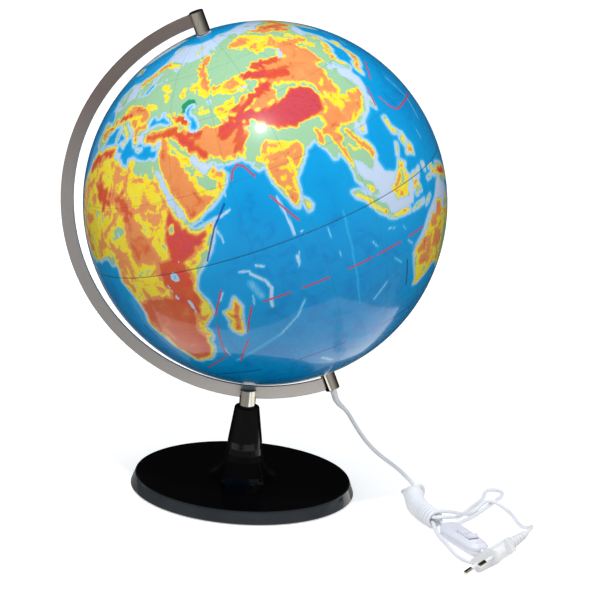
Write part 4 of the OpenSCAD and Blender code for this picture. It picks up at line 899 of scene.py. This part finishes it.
def swing(tree, pattern, amount):
    """A noise of 0 to 1 turned into one that swings both ways from 0 by half the amount."""
    return times(tree, calc(tree, "SUBTRACT", pattern, 0.5), amount)


def distance(tree, first, second):
    """Length of the hypotenuse over two sides."""
    squares = [calc(tree, "POWER", side, 2.0) for side in (first, second)]
    return calc(tree, "SQRT", calc(tree, "ADD", *squares))


def between(tree, value, low, high):
    """0 at low, 1 at high, and a straight line between."""
    return node(tree, "MapRange", {0: value, 1: low, 2: high}).outputs[0]


def spread(tree, value, low, high):
    """A value of 0 to 1 turned into one of low to high."""
    return node(tree, "MapRange", {0: value, 3: low, 4: high}).outputs[0]


def mix(tree, share, first, second, kind="MIX"):
    """The first colour where the share is 0, and the second where it is 1."""
    made = node(tree, "Mix", {0: share, 6: first, 7: second}, data_type="RGBA", blend_type=kind)
    return made.outputs[2]


def colour(red, green, blue):
    """A colour from the usual 0 to 255 values to the linear ones that shaders use."""
    def linear(value):
        value /= 255
        return value / 12.92 if value <= 0.04045 else ((value + 0.055) / 1.055) ** 2.4
    return (linear(red), linear(green), linear(blue), 1)


def grey(level):
    """A grey from its linear value."""
    return (level, level, level, 1)


def tones(tree, share, first, second):
    """A mix of two colours given as 0 to 255 values."""
    return mix(tree, share, colour(*first), colour(*second))


def ramp(tree, value, stops):
    """A colour ramp. Each stop is its place, red, green and blue."""
    made = node(tree, "ValToRGB", {0: value})
    elements = made.color_ramp.elements
    while len(elements) < len(stops):
        elements.new(0.5)
    for element, (place, *shade) in zip(elements, stops):
        element.position = place
        element.color = colour(*shade)
    return made.outputs[0]


def object_place(tree):
    return node(tree, "TexCoord").outputs["Object"]


def axes(tree, vector):
    """The X, Y and Z parts of a vector."""
    return node(tree, "SeparateXYZ", {0: vector}).outputs


def noise(tree, scale, detail=3, roughness=0.5, vector=None, distortion=0):
    """Soft noise of 0 to 1, laid out in the object's own place unless a vector is given."""
    made = node(tree, "TexNoise", {
        "Vector": vector or object_place(tree), "Scale": scale, "Detail": detail,
        "Roughness": roughness, "Distortion": distortion})
    return made.outputs[0]


def bump(tree, height, strength, depth=FINE_DEPTH):
    """Fine roughness for a surface that is already shaped."""
    return node(tree, "Bump", {"Height": height, "Strength": strength, "Distance": depth}).outputs[0]


def surface(tree, **inputs):
    """The Principled shader, with its inputs linked or set, and the output node."""
    names = {key.replace("_", " "): value for key, value in inputs.items()}
    shader = node(tree, "BsdfPrincipled", names)
    node(tree, "OutputMaterial", {0: shader.outputs[0]})


def new_material(name):
    """The empty node tree of a new material, which MATERIALS keeps under its name."""
    made = bpy.data.materials.new(name)
    made.use_nodes = True
    made.node_tree.nodes.clear()
    MATERIALS[name] = made
    return made.node_tree


# ---- Materials
# Stops of the map's colours: place, red, green, blue
LAND_STOPS = [
    (0.0, 34, 150, 108), (0.035, 70, 180, 130), (0.05, 152, 202, 166), (0.25, 160, 204, 160),
    (0.275, 246, 230, 70), (0.46, 246, 222, 40), (0.50, 238, 158, 96), (0.66, 234, 146, 84),
    (0.71, 222, 104, 54), (0.83, 218, 88, 50), (0.87, 222, 78, 68), (1.0, 206, 74, 86)]
SEA_STOPS = [
    (0.0, 198, 216, 242), (0.13, 190, 212, 242), (0.17, 150, 205, 242), (0.28, 128, 198, 242),
    (0.32, 62, 178, 235), (0.50, 16, 168, 232), (0.55, 0, 158, 224), (0.75, 0, 152, 220),
    (0.80, 0, 138, 210)]
ICE_TONES = (214, 228, 238), (246, 250, 252)
# A printed current: half its width, and how far it runs past its line's ends, in degrees
STROKE_HALF_WIDTH = 0.3
STROKE_REACH = 0.8
# Radius from which the base's outer edge and side wall are painted paler grey as a highlight, and the width over
# which that fades in
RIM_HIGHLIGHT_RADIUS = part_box("base_shell")[1].x - 3 * MM
RIM_HIGHLIGHT_FADE = 2 * MM
# Metres that a radian along the arm counts for, so that its brushed marks are long ones
BRUSH_STRETCH = 0.012
# How much each axis counts in a metal's marks: the smaller, the longer they are
LENGTHWAYS = (1, 1, 0.06)
EVERY_WAY = (1, 1, 1)


def plastic(name, dark, light, rough, grain=900, depth=0.03 * MM, coat=0.0, soften=0.0):
    """Moulded plastic: slow shade changes, a fine grain and duller patches. Edges can shade softly."""
    tree = new_material(name)
    grained = bump(tree, noise(tree, grain, 5, 0.6), 0.25, depth)
    if soften:
        rounded = node(tree, "Bevel", {"Radius": soften}, samples=8).outputs[0]
        tree.links.new(rounded, grained.node.inputs["Normal"])
    surface(
        tree, Base_Color=tones(tree, noise(tree, 60, 4), dark, light),
        Roughness=spread(tree, noise(tree, 140, 5), *rough), Coat_Weight=coat, Coat_Roughness=0.06,
        Normal=grained)


def metal(name, dark, light, rough, stretch, scale=400, strength=0.3):
    """Turned, drawn or cast metal: fine marks stretched along one way, with duller patches. On the chrome, the
    stretched light and dark marks are painted reflection streaks.
    """
    tree = new_material(name)
    place = node(tree, "Mapping", {"Vector": object_place(tree), "Scale": stretch}).outputs[0]
    marks = noise(tree, scale, 4, 0.65, place)
    surface(
        tree, Base_Color=tones(tree, marks, dark, light), Metallic=1.0,
        Roughness=spread(tree, noise(tree, 45, 5), *rough), Normal=bump(tree, marks, strength))


def brushed_arm():
    """Flat steel arc, brushed along its own curve, with painted shade: darker towards the top, lighter lower down,
    and dark on its side faces.
    """
    tree = new_material("satin_steel")
    from_centre = node(
        tree, "VectorMath", {0: object_place(tree), 1: BALL_CENTRE}, operation="SUBTRACT").outputs[0]
    x, y, z = axes(tree, from_centre)
    angle = calc(tree, "ARCTAN2", z, x)
    around = node(tree, "CombineXYZ", {
        0: times(tree, angle, BRUSH_STRETCH), 1: distance(tree, x, z), 2: y}).outputs[0]
    marks = noise(tree, 2600, 3, 0.7, around)
    # Painted shade and light: one steel in two tones, darker from 90 mm above the ball's centre upwards and
    # lighter from the centre's height down
    upper = tones(tree, marks, (142, 124, 116), (186, 168, 160))
    lower = tones(tree, marks, (186, 181, 176), (220, 215, 210))
    tone = mix(tree, between(tree, z, 0.09, 0.0), upper, lower)
    # Painted shade: the arm's narrow side faces are darkened
    facing = axes(tree, node(tree, "NewGeometry").outputs["Normal"])[1]
    painted_shade_edge = between(tree, calc(tree, "ABSOLUTE", facing), 0.5, 0.2)
    tone = mix(tree, times(tree, painted_shade_edge, 0.75), tone, colour(52, 46, 44))
    surface(
        tree, Base_Color=tone, Metallic=1.0, Anisotropic=0.4,
        Roughness=spread(tree, noise(tree, 500, 3, 0.6, around), 0.30, 0.48),
        Normal=bump(tree, marks, 0.25))


def black_gloss():
    """The black base: dust and smears, and a paler grey band at its outer edge and side wall that is a painted
    highlight and painted reflection.
    """
    tree = new_material("black_gloss")
    smear = noise(tree, 24, 5, 0.6)
    tone = tones(tree, smear, (2, 2, 3), (7, 7, 9))
    x, y, _ = axes(tree, object_place(tree))
    # Painted highlight and reflection: the outer edge and side wall of the base turn paler grey
    rim = between(tree, distance(tree, x, y), RIM_HIGHLIGHT_RADIUS - RIM_HIGHLIGHT_FADE, RIM_HIGHLIGHT_RADIUS)
    tone = mix(tree, rim, tone, tones(tree, smear, (34, 38, 42), (62, 66, 70)))
    surface(
        tree, Base_Color=tone, Roughness=spread(tree, smear, 0.05, 0.13), Specular_IOR_Level=0.12,
        Coat_Weight=0.12, Coat_Roughness=0.02, Normal=bump(tree, noise(tree, 700, 6, 0.7), 0.05))


def felt():
    """Dark felt of tangled fibres."""
    tree = new_material("felt")
    fibres = noise(tree, 1400, 6, 0.75, distortion=1.5)
    tone = tones(tree, fibres, (22, 24, 26), (58, 60, 62))
    surface(
        tree, Base_Color=tone, Roughness=0.95, Sheen_Weight=0.4,
        Normal=bump(tree, fibres, 0.8, 0.2 * MM))


def glass():
    """The bulb's glass, slightly uneven."""
    tree = new_material("bulb_glass")
    frost = noise(tree, 300, 5)
    surface(
        tree, Base_Color=mix(tree, frost, (0.93, 0.96, 0.97, 1), grey(1)),
        Roughness=spread(tree, frost, 0.02, 0.08), Transmission_Weight=1.0, IOR=1.5)


def pole_cap():
    """The map's pale ice, for the plate at the south pole."""
    tree = new_material("pole_cap")
    surface(
        tree, Base_Color=tones(tree, noise(tree, 500, 4), *ICE_TONES), Roughness=0.28,
        Coat_Weight=1.0, Coat_Roughness=0.04)


def layer(tree, name):
    """A layer of the map, as stored on the ball's points."""
    return node(tree, "Attribute", attribute_name=name).outputs["Fac"]


def map_ground(tree, height, patchy, ragged):
    """Colours of the land: flat steps by height, mottled where it's high, with reddish ridges."""
    rising = times(tree, between(tree, height, 0.12, 0.38), 1.1)
    mottle = calc(tree, "SUBTRACT", rising, times(tree, between(tree, height, 0.5, 0.62), 0.75))
    relief = calc(tree, "ADD", height, swing(tree, patchy, mottle))
    relief = calc(tree, "ADD", relief, swing(tree, ragged, times(tree, mottle, 0.3)))
    ridges = times(tree, between(tree, relief, 0.5, 1.0), between(tree, ragged, 0.52, 0.36))
    return mix(tree, times(tree, ridges, 0.35), ramp(tree, relief, LAND_STOPS), colour(176, 48, 60))


def map_water(tree, depth, patchy, coast):
    """Colours of the sea: flat steps by depth, with a pale rim along the coast."""
    deep = calc(tree, "ADD", depth, swing(tree, patchy, times(tree, depth, 0.28)))
    rim = times(tree, between(tree, coast, -0.75, -0.3), 0.8)
    return mix(tree, rim, ramp(tree, deep, SEA_STOPS), colour(178, 212, 238))


def map_lines(tree, shade):
    """The printed currents, the grid and the equator, laid over the map's colours."""
    for kind, ink in (("warm", colour(196, 60, 84)), ("cold", colour(20, 66, 160))):
        across = calc(tree, "ABSOLUTE", layer(tree, kind + "_across"))
        wide = calc(tree, "LESS_THAN", across, STROKE_HALF_WIDTH)
        long = calc(tree, "LESS_THAN", layer(tree, kind + "_reach"), STROKE_REACH)
        shade = mix(tree, times(tree, times(tree, wide, long), 0.85), shade, ink)
    grid = calc(tree, "MINIMUM", *[
        calc(tree, "ABSOLUTE", layer(tree, name)) for name in ("meridian", "parallel")])
    shade = mix(tree, times(tree, between(tree, grid, 0.16, 0.06), 0.28), shade, colour(60, 80, 90))
    equator = between(tree, layer(tree, "equator"), 0.26, 0.12)
    return mix(tree, times(tree, equator, 0.45), shade, colour(40, 70, 80))


def map_skin():
    """The printed map: land heights and sea depths in flat steps, thin lines, under a glossy varnish."""
    tree = new_material("map_skin")
    place = object_place(tree)
    wobble = noise(tree, 130, 4, 0.6, place)
    ragged = noise(tree, 420, 4, 0.65, place)
    patchy = noise(tree, 62, 4, 0.5, place, distortion=1.0)
    print_grain = noise(tree, 1800, 2, 0.5, place)
    wander = calc(tree, "ADD", calc(tree, "SUBTRACT", wobble, 0.5), swing(tree, ragged, 0.7))
    coast = calc(tree, "ADD", layer(tree, "coast"), times(tree, wander, 2.4))
    water = map_water(tree, layer(tree, "depth"), patchy, coast)
    ground = map_ground(tree, layer(tree, "height"), patchy, ragged)
    shade = mix(tree, between(tree, coast, -0.03, 0.05), water, ground)
    shade = mix(tree, layer(tree, "ice"), shade, tones(tree, patchy, *ICE_TONES))
    shade = map_lines(tree, shade)
    shade = mix(tree, 1.0, shade, mix(tree, print_grain, grey(0.93), grey(1)), "MULTIPLY")
    shade = mix(tree, layer(tree, "printed"), colour(236, 236, 232), shade)
    surface(
        tree, Base_Color=shade, Roughness=spread(tree, wobble, 0.22, 0.34), Specular_IOR_Level=0.15,
        Coat_Weight=0.6, Coat_Roughness=0.055, Coat_IOR=1.4, Normal=bump(tree, print_grain, 0.04))


black_gloss()
brushed_arm()
felt()
glass()
map_skin()
pole_cap()
metal("cast_iron", (46, 46, 48), (84, 84, 86), (0.55, 0.8), EVERY_WAY, 500, 0.8)
metal("cover_plate", (110, 112, 114), (160, 162, 164), (0.3, 0.5), (1, 0.05, 1))
metal("zinc_steel", (150, 152, 158), (205, 208, 214), (0.22, 0.4), LENGTHWAYS)
# Painted reflection: the chrome's long light and dark streaks in its colour stand in for reflections
metal("chrome", (170, 164, 154), (236, 230, 216), (0.05, 0.14), LENGTHWAYS, 420, 0.05)
metal("black_oxide", (24, 24, 26), (54, 54, 58), (0.3, 0.5), EVERY_WAY)
metal("brass", (176, 132, 60), (222, 184, 104), (0.18, 0.36), LENGTHWAYS)
metal("cap_metal", (176, 178, 180), (214, 216, 218), (0.2, 0.4), EVERY_WAY)
metal("plug_nickel", (160, 150, 140), (214, 206, 196), (0.12, 0.26), EVERY_WAY, 900, 0.1)
plastic("holder_plastic", (26, 22, 20), (48, 42, 38), (0.3, 0.5))
plastic("inner_plastic", (220, 220, 214), (240, 240, 236), (0.4, 0.6))
plastic("lead_pvc", (226, 231, 240), (250, 251, 254), (0.3, 0.48), 1200, 0.05 * MM)
plastic("switch_plastic", (226, 228, 242), (244, 245, 253), (0.26, 0.42), coat=0.2, soften=2 * MM)
plastic("plug_plastic", (228, 231, 236), (248, 249, 251), (0.26, 0.42), coat=0.2, soften=2 * MM)


def finish_cad_parts():
    """Each carried-over CAD part takes the material of its slot."""
    for part in frame["record"]["subparts"]:
        piece = NODES[part["node"]]
        piece.data.materials.clear()
        own = "pole_cap" if part["node"] == "south_bush" else part["material_slot"]
        piece.data.materials.append(MATERIALS[own])


finish_cad_parts()
cord.data.materials.append(MATERIALS["lead_pvc"])
north = half_shell("north_skin", 1, NORTH_HOLE)
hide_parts("north_half")
south = half_shell("south_skin", -1, SOUTH_HOLE)
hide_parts("south_half")


# ---- Studio
def area_light(name, place, target, size, power, in_gloss=False):
    """A round lamp that faces its target. Polished surfaces mirror it only where that is asked."""
    data = bpy.data.lights.new(name, "AREA")
    data.shape = "DISK"
    data.size = size
    data.energy = power
    lamp = add_object(name, data)
    lamp.location = place
    lamp.rotation_euler = (Vector(target) - Vector(place)).to_track_quat("-Z", "Y").to_euler()
    lamp.visible_glossy = in_gloss


def sheet(name, corners, z, material):
    """A flat stage sheet with the given corners."""
    mesh = bpy.data.meshes.new(name)
    mesh.from_pydata([(x, y, z) for x, y in corners], [], [tuple(range(len(corners)))])
    made = add_object(name, mesh)
    mesh.materials.append(MATERIALS[material])
    return made


def card(name, corners, z, glow):
    """A grey card that glows, as painted light for a lit surface, and that only polished surfaces reflect."""
    tree = new_material(name)
    surface(
        tree, Base_Color=mix(tree, noise(tree, 300), grey(0.3), grey(0.42)), Roughness=0.8,
        Emission_Color=(1, 0.98, 0.96, 1), Emission_Strength=glow)
    made = sheet(name, corners, z, name)
    made.visible_camera = made.visible_diffuse = made.visible_shadow = False


def make_floor():
    """A pale floor, with the table top and the sheet of paper that polished surfaces reflect."""
    tree = new_material("floor_paper")
    surface(
        tree, Base_Color=mix(tree, noise(tree, 300, 3), grey(0.9), grey(0.94)), Roughness=0.7,
        Emission_Color=grey(1), Emission_Strength=0.5)
    floor = sheet("floor", [(-3, -2), (3, -2), (3, 6), (-3, 6)], 0, "floor_paper")
    floor.visible_glossy = floor.visible_diffuse = False
    # Painted light: the table and paper cards glow so that their reflections are bright
    card("table", [(-0.3, -0.42), (0.62, -0.42), (0.62, 0.05), (-0.3, 0.05)], -0.6 * MM, 0.15)
    card("paper", [
        (-0.24, -0.06), (-0.13, -0.15), (0.04, -0.22), (0.14, -0.27), (0.29, -0.26), (0.33, -0.13),
        (0.34, 0.13), (0.17, 0.13), (0.1, -0.02), (-0.1, -0.02), (-0.15, 0.01)], -0.3 * MM, 1.4)


def glowing(tree, tint, strength):
    """Light of one tint from the world."""
    return node(tree, "Background", {0: tint, 1: strength}).outputs[0]


def either(tree, share, first, second):
    """The first shader where the share is 0, and the second where it is 1."""
    return node(tree, "MixShader", {0: share, 1: first, 2: second}).outputs[0]


def make_world():
    """White behind the object, soft light from all round, and a darker room in its reflections."""
    world = bpy.data.worlds.new("studio")
    bpy.context.scene.world = world
    world.use_nodes = True
    tree = world.node_tree
    tree.nodes.clear()
    path = node(tree, "LightPath").outputs
    _, back, up = axes(tree, node(tree, "TexCoord").outputs["Generated"])
    room = node(tree, "MapRange", {0: back, 1: 0.5, 2: -0.5, 3: 0.03, 4: 0.5}).outputs[0]
    above = node(tree, "MapRange", {0: up, 1: -0.1, 2: 0.2, 3: 1.0, 4: 0.3}).outputs[0]
    dark_room = glowing(tree, (1, 0.98, 0.97, 1), times(tree, room, above))
    around = either(tree, path["Is Glossy Ray"], glowing(tree, grey(1), 0.64), dark_room)
    seen = either(tree, path["Is Camera Ray"], around, glowing(tree, grey(1), 1.0))
    node(tree, "OutputWorld", {0: seen})


def make_lights():
    """A small key lamp in front and above, which the ball mirrors, and large soft ones round it."""
    middle = (0.02, 0, 0.2)
    area_light("key", (-0.16, -1.02, 2.04), middle, 0.2, 24, in_gloss=True)
    area_light("top", (-0.3, 0.5, 2.4), middle, 2.2, 5)
    area_light("left", (-2.4, -1.4, 1.0), middle, 1.4, 3)
    area_light("right", (2.4, -1.0, 0.9), middle, 1.4, 7)


make_floor()
make_world()
make_lights()
bpy.context.scene.view_settings.view_transform = "Standard"

bpy.context.view_layer.update()
